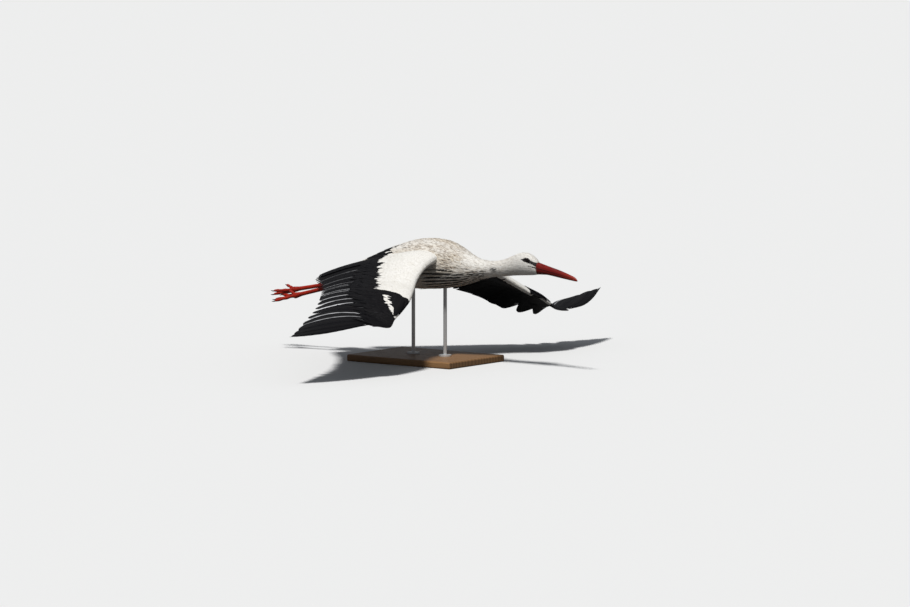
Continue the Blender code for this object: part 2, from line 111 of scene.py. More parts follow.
# Wing, one row for each feather line: front point (forward, out, up on the right, up on the left), the
# same for the rear point, thickness, and camber as a share of the chord.
WING = np.array([
    (0.000, 0.045, 0.004, 0.004, -0.440, 0.052, -0.070, -0.070, 0.046, 0.050),
    (0.003, 0.085, 0.000, 0.000, -0.468, 0.105, -0.085, -0.085, 0.044, 0.055),
    (0.008, 0.140, -0.017, -0.017, -0.432, 0.150, -0.096, -0.096, 0.038, 0.060),
    (0.020, 0.200, -0.051, -0.048, -0.365, 0.215, -0.099, -0.108, 0.033, 0.070),
    (0.044, 0.250, -0.081, -0.082, -0.318, 0.272, -0.1025, -0.120, 0.029, 0.080),
    (0.070, 0.295, -0.096, -0.115, -0.275, 0.330, -0.105, -0.137, 0.024, 0.090),
    (0.087, 0.335, -0.114, -0.141, -0.240, 0.380, -0.112, -0.154, 0.020, 0.100),
    (0.094, 0.385, -0.142, -0.160, -0.205, 0.435, -0.122, -0.177, 0.015, 0.110),
    (0.099, 0.425, -0.160, -0.184, -0.172, 0.490, -0.132, -0.211, 0.012, 0.115),
    (0.101, 0.455, -0.183, -0.201, -0.141, 0.545, -0.140, -0.231, 0.009, 0.110),
    (0.095, 0.515, -0.175, -0.210, -0.108, 0.612, -0.149, -0.244, 0.007, 0.100),
    (0.086, 0.580, -0.174, -0.211, -0.075, 0.682, -0.161, -0.206, 0.0055, 0.085),
    (0.070, 0.655, -0.179, -0.206, -0.045, 0.745, -0.172, -0.190, 0.0045, 0.060),
    (0.049, 0.730, -0.185, -0.190, -0.024, 0.795, -0.181, -0.176, 0.0035, 0.040),
    (0.024, 0.795, -0.188, -0.172, -0.010, 0.828, -0.186, -0.170, 0.0030, 0.020),
    (-0.002, 0.843, -0.187, -0.165, -0.006, 0.8445, -0.187, -0.166, 0.0020, 0.0),
])
WRIST = 6
HAND_END = 10.3
WING_TIP = len(WING) - 1
THICKEST_AT = 0.13
THINNEST = 0.0014
SECONDARIES = 20
SECONDARY_NOTCH = 0.035
TERTIALS = 6
PRIMARIES = 10
ALULA_QUILLS = 4
PRIMARY_NOTCH = {"right": 0.09, "left": 0.26}
NOTCH_START = {"right": (6.0, 8.0), "left": (7.6, 9.0)}

# Legs: ankle and toe joint (forward, up), the toes' pitch and curl, and the thigh's path and radius. The
# shapes give a share of the way down and the radius there as a share of the leg's own. The plates are
# the lengths of the scales, and the ring is the number of points round a leg.
LEG_SIDE = 0.024
LEGS = {
    "right": {"ankle": (-0.418, -0.1075), "toes": (-0.622, -0.1600), "pitch": 14, "curl": -5},
    "left": {"ankle": (-0.456, -0.1080), "toes": (-0.667, -0.1470), "pitch": 16, "curl": -5},
}
THIGH = np.array([
    (-0.135, 0.040, -0.078, 0.020), (-0.170, 0.043, -0.081, 0.030), (-0.215, 0.043, -0.085, 0.032),
    (-0.260, 0.038, -0.090, 0.026), (-0.300, 0.032, -0.0945, 0.0175), (-0.340, 0.0275, -0.0985, 0.0100),
])
THIGH_COVER = (4e-3, 4e-3, 4e-3, 4e-3, 3e-3, 1e-3)
SHANK_RADIUS = 0.0062
SHANK_SHAPE = ((0.16, 1.10), (0.42, 1.0), (0.70, 1.02), (0.88, 1.35), (1.0, 1.58))
TARSUS_RADIUS = 0.0066
LEG_PLATE, TOE_PLATE = 0.0034, 0.0030
LEG_RING = 30
TARSUS_SHAPE = ((0.045, 1.48), (0.10, 1.20), (0.20, 1.03), (0.5, 1.0), (0.86, 1.05), (0.94, 1.32), (1, 1.45))
TOES = {"inner": (0.078, -13, -9), "middle": (0.098, 0, 0), "outer": (0.084, 13, 4)}
HALLUX = (0.036, -6, -38, 24)
TOE_RADIUS = 0.0056
TOE_ROOT_SHIFT = 0.006
CLAW_START = 0.84

SIDES = {"right": -1, "left": 1}
PATCH = 0.003


# ---------------------------------------------------------------- numbers
def blend(rows, at):
    """Smooth rows of numbers at places between their keys, which stand in the first column."""
    keys, rows, at = rows[:, 0], rows[:, 1:], np.asarray(at, float)
    order = np.arange(len(keys))
    low, high = np.maximum(order - 1, 0), np.minimum(order + 1, len(keys) - 1)
    slope = (rows[high] - rows[low]) / (keys[high] - keys[low])[:, None]
    inside = np.clip(at, keys[0], keys[-1])
    index = np.clip(np.searchsorted(keys, inside) - 1, 0, len(keys) - 2)
    width = (keys[index + 1] - keys[index])[..., None]
    part = (inside - keys[index])[..., None] / width
    value = (2 * part**3 - 3 * part**2 + 1) * rows[index]
    value += (part**3 - 2 * part**2 + part) * width * slope[index]
    value += (3 * part**2 - 2 * part**3) * rows[index + 1]
    value += (part**3 - part**2) * width * slope[index + 1]
    beyond = (at - inside)[..., None]
    return value + beyond * np.where(beyond < 0, slope[0], slope[-1])


def smooth_step(low, high, value):
    part = np.clip((np.asarray(value, float) - low) / (high - low), 0.0, 1.0)
    return part * part * (3 - 2 * part)


def bump(centre, width, value):
    return np.exp(-(((np.asarray(value, float) - centre) / width) ** 2))


def lerp(pair, part):
    return pair[0] + (pair[1] - pair[0]) * part


def unit(vectors):
    return vectors / np.maximum(np.linalg.norm(vectors, axis=-1, keepdims=True), 1e-12)


def stack(*columns):
    return np.stack(np.broadcast_arrays(*[np.asarray(column, float) for column in columns]), -1)


# ---------------------------------------------------------------- forms
def spine_side(along):
    """Sideways place of the spine, which bends to the bird's right in the upper neck."""
    bend = TURN_END - TURN_START
    reach = np.clip(along - TURN_START, 0.0, bend)
    return -HEAD_TURN * (reach**2 / (2 * bend) + np.maximum(along - TURN_END, 0.0))


def body_point(along, turn, grow=0.0):
    """A point of trunk, neck or head. turn is 0 under the belly, 0.25 on the right, 0.5 on the back."""
    top, bottom, half_width = np.moveaxis(blend(BODY, along), -1, 0)
    angle = 2 * np.pi * np.asarray(turn, float)
    out = -(half_width + grow) * np.sin(angle)
    up = (top + bottom) / 2 - ((top - bottom) / 2 + grow) * np.cos(angle)
    return SHOULDER + stack(along, spine_side(along) + out, up)


def girth(along):
    top, bottom, half_width = np.moveaxis(blend(BODY, along), -1, 0)
    return np.pi * ((top - bottom) / 2 + half_width)


def wing_line(side, station):
    """The wing's front and rear points, thickness and camber along feather lines."""
    sign = SIDES[side]
    up = 2 if side == "right" else 3
    rows = np.column_stack([np.arange(len(WING)), WING])
    values = blend(rows, station)
    front = SHOULDER + stack(values[..., 0], sign * values[..., 1], values[..., up])
    rear = SHOULDER + stack(values[..., 4], sign * values[..., 5], values[..., up + 4])
    return front, rear, values[..., 8], values[..., 9]


def wing_middle(side, station, chord):
    """Points halfway between the wing's two faces, the way up from them, and half the thickness."""
    station, chord = np.broadcast_arrays(np.asarray(station, float), np.asarray(chord, float))
    front, rear, thick, camber = wing_line(side, station)
    before = wing_line(side, station - 0.2)
    after = wing_line(side, np.minimum(station + 0.2, WING_TIP))
    outwards = (after[0] + after[1]) - (before[0] + before[1])
    back = rear - front
    normal = unit(np.cross(back, outwards))
    normal = normal * np.where(normal[..., 2:] < 0, -1.0, 1.0)
    length = np.linalg.norm(back, axis=-1)
    hump = 4 * camber * chord * (1 - chord) * length
    swell = np.sin(np.pi / 2 * np.sqrt(np.clip(chord / THICKEST_AT, 0, 1)))
    fade = 1 - 0.93 * smooth_step(THICKEST_AT, 0.62, chord)
    half = np.maximum(thick * swell * fade, THINNEST) / 2
    return front + back * chord[..., None] + normal * hump[..., None], normal, half


def wing_point(side, station, wrap, grow=0.0):
    """A point of the wing's skin of air. wrap is the chord's share, negative on the underside."""
    middle, normal, half = wing_middle(side, station, np.abs(wrap))
    face = np.clip(np.asarray(wrap, float) / 0.004, -1, 1)
    return middle + normal * (face * (half + grow))[..., None]


def chord_length(side, station):
    front, rear = wing_line(side, station)[:2]
    return np.linalg.norm(rear - front, axis=-1)


def span_length(side, station, wrap):
    """Metres across the wing for one station, at a place."""
    chord = np.clip(np.abs(wrap), 0, 1)
    after = wing_middle(side, np.minimum(station + 0.25, WING_TIP), chord)[0]
    before = wing_middle(side, np.minimum(station + 0.25, WING_TIP) - 0.5, chord)[0]
    return np.linalg.norm(after - before, axis=-1) * 2


def hand_chord(station):
    """Share of the chord that the hand and its coverts take."""
    return 0.54 - 0.48 * (station - WRIST) / (HAND_END - WRIST)


def thigh_point(side, along, turn):
    """A point of the thigh's feathered outline. along runs from 0 at the hip to 1 at the bare shank."""
    keys = np.linspace(0, 1, len(THIGH))
    x, y, z, radius = np.moveaxis(blend(np.column_stack([keys, THIGH]), along), -1, 0)
    angle = 2 * np.pi * np.asarray(turn, float)
    out = SIDES[side] * y - radius * np.sin(angle)
    return SHOULDER + stack(x, out, z - radius * np.cos(angle))


def tail_point(along, across, face):
    """A point of the tail. across runs from -1 on the right to 1, and face is 1 on top, -1 below."""
    half_width, top, bottom = np.moveaxis(blend(TAIL[::-1], along), -1, 0)
    part = (TAIL[0, 0] - along) / (TAIL[0, 0] - TAIL[-1, 0])
    droop = TAIL_DROOP * across**2 * part
    swell = np.sqrt(np.clip(1 - across**2, 0, 1)) * (1 - part) + part
    middle = (top + bottom) / 2 - droop
    half = np.maximum((top - bottom) / 2 * swell, THINNEST / 2)
    return SHOULDER + stack(along, across * half_width, middle + face * half)


# ---------------------------------------------------------------- meshes
def put_vectors(mesh, name, values):
    made = mesh.attributes.new(name, "FLOAT_VECTOR", "POINT")
    made.data.foreach_set("vector", np.ascontiguousarray(values, np.float32).ravel())


def read_vectors(data, field):
    values = np.empty(len(data) * 3, np.float32)
    data.foreach_get(field, values)
    return values.reshape(-1, 3).astype(float)


def read_points(mesh):
    return read_vectors(mesh.vertices, "co")


def move_points(mesh, points):
    mesh.vertices.foreach_set("co", points.astype(np.float32).ravel())


@contextmanager
def editing(mesh):
    """The mesh's points and faces for editing, written back at the end."""
    shape = bmesh.new()
    shape.from_mesh(mesh)
    yield shape
    shape.to_mesh(mesh)
    shape.free()


def mesh_of(name, points, faces):
    mesh = bpy.data.meshes.new(name)
    mesh.from_pydata([tuple(point) for point in np.asarray(points).reshape(-1, 3).tolist()], [], faces)
    mesh.update()
    return mesh


def add_piece(name, mesh, finish=None):
    made = bpy.data.objects.new(name, mesh)
    if finish:
        mesh.materials.append(finish)
    bpy.context.scene.collection.objects.link(made)
    return made


def settle(piece, slot, *replaced):
    """Fixes a piece to the bird and hides the nodes that it stands for. The slot is not used."""
    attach(piece, "root")
    if replaced:
        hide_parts(*replaced)


def grid_faces(rows, columns, wrap=False, start=0):
    """Four-sided faces of a grid of points; wrap closes each row into a ring."""
    faces = []
    for row in range(rows - 1):
        for column in range(columns if wrap else columns - 1):
            after = (column + 1) % columns
            low, high = start + row * columns, start + (row + 1) * columns
            faces.append((low + column, low + after, high + after, high + column))
    return faces


def closed_tube(name, rings):
    """A closed mesh round rings of points, given as an array of rings by points by three."""
    count, points = rings.shape[:2]
    faces = grid_faces(count, points, wrap=True)
    faces.append(tuple(range(points)))
    faces.append(tuple(range((count - 1) * points, count * points)))
    mesh = mesh_of(name, rings, faces)
    face_outwards(mesh)
    return mesh


def face_outwards(mesh, merge=0.0):
    with editing(mesh) as shape:
        if merge:
            bmesh.ops.remove_doubles(shape, verts=shape.verts, dist=merge)
        bmesh.ops.recalc_face_normals(shape, faces=shape.faces)


def evaluated_copy(shape, name):
    """A plain mesh object from a shape with its modifiers, which is then removed."""
    graph = bpy.context.evaluated_depsgraph_get()
    mesh = bpy.data.meshes.new_from_object(shape.evaluated_get(graph))
    mesh.name = name
    bpy.data.objects.remove(shape)
    return add_piece(name, mesh)


# ---------------------------------------------------------------- node helpers
class Nodes:
    """Adds nodes to a tree and joins them, so that each shader or shape reads top to bottom."""

    def __init__(self, tree):
        self.tree = tree

    def add(self, kind, values=(), **settings):
        node = self.tree.nodes.new(kind)
        for name, value in settings.items():
            setattr(node, name, value)
        for socket, value in dict(values).items():
            target = node.inputs[socket]
            if isinstance(value, bpy.types.NodeSocket):
                self.tree.links.new(value, target)
            else:
                target.default_value = value
        return node

    def math(self, operation, first, second=0.0, third=0.0):
        return self.add("ShaderNodeMath", {0: first, 1: second, 2: third}, operation=operation).outputs[0]

    def times(self, first, second):
        return self.math("MULTIPLY", first, second)

    def scaled(self, value, factor, start):
        return self.math("MULTIPLY_ADD", value, factor, start)

    def parts(self, vector):
        return self.add("ShaderNodeSeparateXYZ", {0: vector}).outputs[:3]

    def vector(self, operation, first, second=(0, 0, 0), scale=None):
        values = {0: first, 1: second}
        if scale is not None:
            values["Scale"] = scale
        return self.add("ShaderNodeVectorMath", values, operation=operation).outputs[0]

    def mix(self, share, *colours):
        first, second = ((*colour, 1) if isinstance(colour, tuple) else colour for colour in colours)
        return self.add("ShaderNodeMix", {0: share, 6: first, 7: second}, data_type="RGBA").outputs[2]

    def ramp(self, value, low, high):
        """From 0 at low to 1 at high, whichever of them is the greater."""
        values = {0: value, 1: low, 2: high}
        return self.add("ShaderNodeMapRange", values, interpolation_type="SMOOTHSTEP").outputs[0]

    def object_place(self):
        return self.add("ShaderNodeTexCoord").outputs["Object"]

    def noise(self, scale, detail=3.0, stretch=(1, 1, 1), rough=0.55):
        placed = self.add("ShaderNodeMapping", {"Vector": self.object_place(), "Scale": stretch}).outputs[0]
        values = {"Vector": placed, "Scale": scale, "Detail": detail, "Roughness": rough}
        return self.add("ShaderNodeTexNoise", values).outputs["Fac"]


def new_group(name, tree_kind, inputs, outputs, output_kind="Float"):
    """A node group with named inputs and outputs: its nodes, and the sockets inside at both ends."""
    tree = bpy.data.node_groups.new(name, tree_kind)
    for title, kind, value in inputs:
        socket = tree.interface.new_socket(title, in_out="INPUT", socket_type=f"NodeSocket{kind}")
        if value is not None:
            socket.default_value = value
    for title in outputs:
        tree.interface.new_socket(title, in_out="OUTPUT", socket_type=f"NodeSocket{output_kind}")
    start, end = tree.nodes.new("NodeGroupInput"), tree.nodes.new("NodeGroupOutput")
    return Nodes(tree), start.outputs, end.inputs


# ---------------------------------------------------------------- laying feathers on a form
def feather_tree():
    """Lays vanes on a form. Roots are points of the form's chart and carry each feather's run across and
    along the chart, its rise over the form from root to tip, and its tilt, bend and lifted tip."""
    inputs = [("Roots", "Geometry", None), ("Form", "Object", None), ("Vanes", "Collection", None),
              ("Thickness", "Float", 0.0004), ("Patch", "Float", PATCH), ("Seed", "Int", 3),
              ("Finish", "Material", None)]
    n, given, result = new_group("lay_feathers", "GeometryNodeTree", inputs, ["Plumage"], "Geometry")

    def named(name):
        return n.add("GeometryNodeInputNamedAttribute", {"Name": name}, data_type="FLOAT_VECTOR").outputs[0]

    vanes = n.add("GeometryNodeCollectionInfo", {"Collection": given["Vanes"], "Separate Children": True,
                                                 "Reset Children": True}).outputs[0]
    pick = n.add("FunctionNodeRandomValue", {4: 0, 5: 1000, 8: given["Seed"]}, data_type="INT")
    placed = n.add("GeometryNodeInstanceOnPoints", {"Points": given["Roots"], "Instance": vanes,
                                                    "Pick Instance": True,
                                                    "Instance Index": pick.outputs[2]}).outputs[0]
    solid = n.add("GeometryNodeRealizeInstances", {0: placed}).outputs[0]

    local, rise, twist = (n.parts(named(name)) for name in ("local", "rise", "twist"))
    bend = n.times(n.times(local[1], local[1]), twist[1])
    sideways = n.vector("SCALE", named("across"), scale=n.math("ADD", local[0], bend))
    chart = n.vector("ADD", named("root"), sideways)
    chart = n.vector("ADD", chart, n.vector("SCALE", named("along"), scale=local[1]))

    settled = n.math("POWER", local[1], 0.6)
    height = n.scaled(n.math("SUBTRACT", rise[1], rise[0]), settled, rise[0])
    crown = n.math("SUBTRACT", 1.0, n.times(local[0], local[0]))
    tip = n.math("POWER", local[1], 3.0)
    for amount, shape in ((rise[2], crown), (twist[0], local[0]), (twist[2], tip),
                          (local[2], given["Thickness"])):
        height = n.scaled(amount, shape, height)

    form = n.add("GeometryNodeObjectInfo", {"Object": given["Form"]}).outputs["Geometry"]

    def sample(value):
        values = {"Mesh": form, "Value": value, "UV Map": named("chart"), "Sample UV": chart}
        return n.add("GeometryNodeSampleUVSurface", values, data_type="FLOAT_VECTOR").outputs[0]

    ground = sample(n.add("GeometryNodeInputPosition").outputs[0])
    outwards = n.vector("NORMALIZE", sample(named("out")))
    place = n.vector("ADD", ground, n.vector("SCALE", outwards, scale=height))
    laid = n.add("GeometryNodeSetPosition", {"Geometry": solid, "Position": place}).outputs[0]

    half_across, past_middle = n.times(local[0], 0.5), n.math("SUBTRACT", local[1], 0.5)
    patch = n.add("ShaderNodeCombineXYZ", {0: half_across, 1: past_middle}).outputs[0]
    bake = n.vector("ADD", named("place"), n.vector("SCALE", patch, scale=given["Patch"]))
    mapped = n.add("GeometryNodeStoreNamedAttribute", {"Geometry": laid, "Name": "OFBake", "Value": bake},
                   data_type="FLOAT2", domain="CORNER").outputs[0]
    coated = n.add("GeometryNodeSetMaterial", {"Geometry": mapped, "Material": given["Finish"]}).outputs[0]
    n.tree.links.new(coated, result["Plumage"])
    return n.tree


def make_form(name, surface, first, second, outside):
    """A guide mesh over two lists of chart values. It isn't part of the bird, and is removed at the end."""
    u, v = np.meshgrid(first, second, indexing="ij")
    points = surface(u, v)
    step = 1e-4
    run_u = surface(u + step, v) - surface(u - step, v)
    run_v = surface(u, v + step) - surface(u, v - step)
    normals = unit(np.cross(run_u, run_v)) * outside
    mesh = mesh_of(name, points, grid_faces(*u.shape))
    put_vectors(mesh, "chart", stack(u, v, 0.0))
    put_vectors(mesh, "out", normals)
    form = add_piece(name, mesh)
    form.hide_render = True
    return form


def make_vane(name, collection, rows, columns, widest, fullness, point, fray, seed):
    """One flat feather in its own measure: x from -1 to 1, y from 0 at the root to 1 at the tip."""
    rough = np.random.default_rng(seed)
    tip_rows = 1 - (1 - np.linspace(0, 1, rows)) ** 1.35
    across = np.linspace(-1, 1, columns + 1)
    base = fullness + (1 - fullness) * np.sin(np.pi / 2 * np.clip(tip_rows / widest, 0, 1))
    past = np.clip((tip_rows - widest) / (1 - widest), 0, 1)
    half = base * np.clip(1 - past**point[0], 0, 1) ** point[1]
    tear = 1 - fray * rough.random((rows, 2)) * smooth_step(0.25, 0.7, tip_rows)[:, None]
    width = np.where(across < 0, half[:, None] * tear[:, :1], half[:, None] * tear[:, 1:])
    hang = 0.05 * np.abs(across) ** 1.5 * smooth_step(0.2, 1.0, tip_rows)[:, None]
    x, y = width * across, np.clip(tip_rows[:, None] - hang, 0, 1)
    lens = np.where(np.abs(across) < 0.999, 0.5, 0.0) * np.ones_like(x)
    top, low = stack(x, y, lens), stack(x[:, ::columns], y[:, ::columns], 0.0)
    faces = grid_faces(rows, columns + 1)
    lower = [face[::-1] for face in grid_faces(rows, 2, start=rows * (columns + 1))]
    mesh = mesh_of(name, np.concatenate([top.reshape(-1, 3), low.reshape(-1, 3)]), faces + lower)
    with editing(mesh) as shape:
        bmesh.ops.remove_doubles(shape, verts=shape.verts, dist=1e-4)
        bmesh.ops.holes_fill(shape, edges=shape.edges)
        bmesh.ops.recalc_face_normals(shape, faces=shape.faces)
        for edge in shape.edges:
            edge.smooth = not all(abs(vert.co.z) < 0.01 for vert in edge.verts)
        for face in shape.faces:
            face.smooth = True
    put_vectors(mesh, "local", read_points(mesh))
    collection.objects.link(bpy.data.objects.new(name, mesh))


def vane_set(name, **shape):
    """Four feathers of one shape, each with an edge torn in its own way."""
    collection = bpy.data.collections.new(name)
    for number in range(4):
        make_vane(f"{name}_{number}", collection, seed=11 + number, **shape)
    return collection


class Tract:
    """Feathers of one kind: the roots and runs that the tree reads, gathered row by row."""

    NAMES = ("root", "across", "along", "rise", "twist", "tone")

    def __init__(self):
        self.rows = {name: [] for name in self.NAMES}

    def add(self, **given):
        count = len(given["root"])
        for name in self.NAMES:
            self.rows[name].append(np.broadcast_to(given[name], (count, 3)))

    def lay(self, name, form, vanes, thickness, coat="white"):
        values = {key: np.concatenate(rows) for key, rows in self.rows.items()}
        mesh = mesh_of(name, values["root"], [])
        low, high = values["root"].min(0), values["root"].max(0)
        span = np.maximum(high - low, 1e-6)
        values["place"] = 0.02 + 0.96 * (values["root"] - low) / span
        for key, value in values.items():
            put_vectors(mesh, key, value)
        roots = add_piece(name + "_roots", mesh)
        change = roots.modifiers.new("feathers", "NODES")
        change.node_group = FEATHER_TREE
        given = {"Form": form, "Vanes": vanes, "Thickness": thickness, "Finish": COATS[coat]}
        for socket in FEATHER_TREE.interface.items_tree:
            if socket.in_out == "INPUT" and socket.name in given:
                change[socket.identifier] = given[socket.name]
        made = evaluated_copy(roots, name)
        for key in ("root", "across", "along", "rise", "twist", "place"):
            made.data.attributes.remove(made.data.attributes[key])
        finish_plumage(made, coat)


# ---------------------------------------------------------------- shared effects
def feather_group():
    """Barbs, shaft, edge and a height for one feather, from its own run across and along."""
    inputs = [("Barbs", "Float", 46.0), ("Slope", "Float", 16.0), ("Shaft Width", "Float", 0.05)]
    names = ("Barb", "Shaft", "Edge", "Outer", "Root", "Streak", "Height")
    n, given, result = new_group("feather_barbs", "ShaderNodeTree", inputs, names)
    x, y, _ = n.parts(n.add("ShaderNodeAttribute", attribute_name="local").outputs["Vector"])
    away = n.math("ABSOLUTE", x)
    phase = n.scaled(n.times(away, -1.0), given["Slope"], n.times(y, given["Barbs"]))
    phase = n.scaled(n.noise(90.0, 2.0), 1.6, phase)
    barb = n.scaled(n.math("SINE", n.times(phase, 6.283)), 0.5, 0.5)
    shaft = n.math("SUBTRACT", 1.0, n.ramp(away, 0.0, given["Shaft Width"]))
    edge = n.math("MAXIMUM", n.ramp(away, 0.62, 0.98), n.ramp(y, 0.80, 1.0))
    outer = n.times(n.ramp(x, -0.60, -0.86), n.ramp(y, 0.12, 0.40))
    # Root is near 1 by a feather's root; the white plumage uses it to paint shade in the gaps between
    # feathers.
    root = n.ramp(y, 0.62, 0.05)
    streak = n.times(n.ramp(away, 0.60, 0.10), n.ramp(y, 0.30, 0.75))
    height = n.scaled(shaft, 1.2, n.times(barb, 0.5))
    for name, value in zip(names, (barb, shaft, edge, outer, root, streak, height)):
        n.tree.links.new(value, result[name])
    return n.tree


def wear_group():
    """Soft uneven cover: broad clouds and fine flecks, both from 0 to 1."""
    inputs = [("Broad Scale", "Float", 12.0), ("Fleck Scale", "Float", 160.0),
              ("Stretch", "Vector", (1, 1, 1))]
    n, given, result = new_group("uneven_cover", "ShaderNodeTree", inputs, ("Clouds", "Flecks"))
    placed = n.vector("MULTIPLY", n.object_place(), given["Stretch"])
    for name, scale, detail, low, high in (("Clouds", "Broad Scale", 3.0, 0.36, 0.66),
                                           ("Flecks", "Fleck Scale", 4.0, 0.40, 0.64)):
        values = {"Vector": placed, "Scale": given[scale], "Detail": detail}
        noise = n.add("ShaderNodeTexNoise", values).outputs["Fac"]
        n.tree.links.new(n.ramp(noise, low, high), result[name])
    return n.tree


class Finish(Nodes):
    """The nodes of one material, round its Principled shader."""

    def __init__(self, name, **fixed):
        self.material = bpy.data.materials.new(name)
        self.material.use_nodes = True
        super().__init__(self.material.node_tree)
        self.shader = self.tree.nodes["Principled BSDF"].inputs
        for socket, value in fixed.items():
            self.shader[socket.replace("_", " ")].default_value = value

    def group(self, tree, **values):
        node = self.add("ShaderNodeGroup", node_tree=tree)
        for socket, value in values.items():
            node.inputs[socket.replace("_", " ")].default_value = value
        return node.outputs

    def tone(self):
        """Each feather's own tone: how black it is, how stained, and a number at random."""
        return self.parts(self.add("ShaderNodeAttribute", attribute_name="tone").outputs["Vector"])

    def done(self, colour, rough=None, relief=None):
        """Joins the shader up. relief is a height, the bump's strength and its distance in metres."""
        self.tree.links.new(colour, self.shader["Base Color"])
        if rough:
            self.tree.links.new(rough, self.shader["Roughness"])
        if relief:
            bump_values = dict(zip(("Height", "Strength", "Distance"), relief))
            self.tree.links.new(self.add("ShaderNodeBump", bump_values).outputs[0], self.shader["Normal"])
        return self.material


def white_plumage():
    n = Finish("white_plumage", Roughness=0.85, Specular_IOR_Level=0.2, Sheen_Weight=0.1)
    barbs = n.group(BARBS)
    wear = n.group(WEAR, Broad_Scale=22.0, Fleck_Scale=210.0, Stretch=(0.35, 1.0, 1.0))
    black, stain, chance = n.tone()
    fresh = n.mix(chance, (0.87, 0.865, 0.845), (0.82, 0.81, 0.775))
    dirt = n.times(stain, n.scaled(wear["Clouds"], 0.75, 0.35))
    cream = n.mix(n.times(dirt, 0.80), fresh, (0.66, 0.585, 0.465))
    fleck = n.times(n.times(wear["Flecks"], stain), 0.62)
    streaked = n.times(n.times(barbs["Streak"], stain), n.ramp(chance, 0.50, 0.75))
    marked = n.math("MAXIMUM", fleck, n.times(streaked, n.scaled(wear["Clouds"], 0.6, 0.4)))
    brown = n.mix(marked, cream, (0.20, 0.135, 0.090))
    shade = n.times(n.times(barbs["Barb"], barbs["Edge"]), 0.14)
    lined = n.mix(shade, brown, (0.50, 0.46, 0.40))
    shafted = n.mix(n.times(barbs["Shaft"], 0.2), lined, (0.93, 0.90, 0.82))
    # Painted shade: each feather darkens towards its root, so the gaps between feathers read dark, more so on
    # stained feathers.
    depth = n.times(barbs["Root"], n.scaled(stain, 0.40, 0.26))
    with_painted_root_shade = n.mix(depth, shafted, (0.30, 0.26, 0.20))
    return n.done(n.mix(black, with_painted_root_shade, (0.013, 0.013, 0.015)), relief=(barbs["Height"], 0.30, 0.0005))


def black_plumage():
    """Black feathers with a thin grey bloom, and silver along the outer edge of some quills."""
    n = Finish("black_plumage", Specular_IOR_Level=0.07)
    barbs = n.group(BARBS, Barbs=70.0, Slope=22.0, Shaft_Width=0.035)
    wear = n.group(WEAR, Broad_Scale=30.0, Fleck_Scale=240.0, Stretch=(0.25, 1.0, 1.0))
    _, silver, chance = n.tone()
    base = n.mix(chance, (0.0036, 0.0036, 0.0046), (0.0075, 0.0072, 0.0085))
    bloom = n.times(barbs["Edge"], n.scaled(wear["Flecks"], 0.6, 0.1))
    edged = n.mix(n.times(bloom, 0.30), base, (0.040, 0.041, 0.048))
    lined = n.mix(n.times(barbs["Barb"], 0.22), edged, (0.016, 0.016, 0.020))
    shafted = n.mix(n.times(barbs["Shaft"], 0.4), lined, (0.085, 0.078, 0.070))
    bright = n.times(n.times(barbs["Outer"], silver), n.scaled(wear["Clouds"], 0.55, 0.45))
    return n.done(n.mix(bright, shafted, (0.80, 0.82, 0.86)), n.scaled(barbs["Barb"], 0.12, 0.48),
                  (barbs["Height"], 0.40, 0.0006))


def bird_skin():
    """Down and skin under the plumage, bare black round the eye, red scales on the legs."""
    n = Finish("bird_skin", Specular_IOR_Level=0.2)
    black, bare, red = n.tone()
    wear = n.group(WEAR, Broad_Scale=40.0, Fleck_Scale=420.0)
    down = n.mix(wear["Clouds"], (0.68, 0.65, 0.59), (0.54, 0.51, 0.45))
    dark = n.mix(wear["Flecks"], (0.012, 0.011, 0.012), (0.035, 0.030, 0.030))
    values = {"Vector": n.object_place(), "Scale": n.scaled(red, -1100.0, 1620.0)}
    cells = n.add("ShaderNodeTexVoronoi", values, feature="DISTANCE_TO_EDGE").outputs[0]
    seams = n.ramp(cells, 0.0, 0.12)
    scale = n.mix(wear["Clouds"], (0.50, 0.020, 0.004), (0.33, 0.010, 0.003))
    legs = n.mix(seams, (0.13, 0.006, 0.005), scale)
    dusty = n.mix(n.times(wear["Flecks"], 0.05), legs, (0.60, 0.26, 0.16))
    naked = n.math("MAXIMUM", red, bare)
    return n.done(n.mix(red, n.mix(black, down, dark), dusty), n.scaled(naked, -0.18, 0.62),
                  (n.times(naked, seams), 0.55, 0.0004))


def bill_horn():
    n = Finish("bill_horn", Specular_IOR_Level=0.3, Coat_Weight=0.05)
    along, up, pit = n.tone()
    wear = n.group(WEAR, Broad_Scale=26.0, Fleck_Scale=90.0, Stretch=(0.25, 1.6, 1.6))
    grain = n.group(WEAR, Broad_Scale=90.0, Fleck_Scale=600.0, Stretch=(0.10, 1.0, 1.6))
    colour = n.mix(wear["Clouds"], (0.22, 0.009, 0.006), (0.14, 0.006, 0.005))
    # Painted shade: the lower half is darkened downwards by up, and pit paints the nostril's slit near black
    # as shade, with a dark line along the cutting edge.
    for share, part, tint in ((n.ramp(along, 0.50, 1.0), 0.7, (0.36, 0.040, 0.022)),
                              (n.ramp(along, 0.16, 0.0), 0.55, (0.075, 0.004, 0.004)),
                              (n.ramp(up, 0.0, -0.8), 0.60, (0.060, 0.004, 0.004)),
                              (grain["Flecks"], 0.16, (0.34, 0.028, 0.016)),
                              (pit, 1.0, (0.02, 0.006, 0.006))):
        colour = n.mix(n.times(share, part), colour, tint)
    return n.done(colour, n.scaled(wear["Flecks"], 0.18, 0.30), (grain["Flecks"], 0.22, 0.0003))


def claw_horn():
    n = Finish("claw_horn", Roughness=0.35, Specular_IOR_Level=0.5)
    wear = n.group(WEAR, Broad_Scale=90.0, Fleck_Scale=700.0, Stretch=(0.3, 1.0, 1.0))
    return n.done(n.mix(wear["Clouds"], (0.030, 0.014, 0.012), (0.10, 0.035, 0.025)),
                  relief=(wear["Flecks"], 0.3, 0.0003))


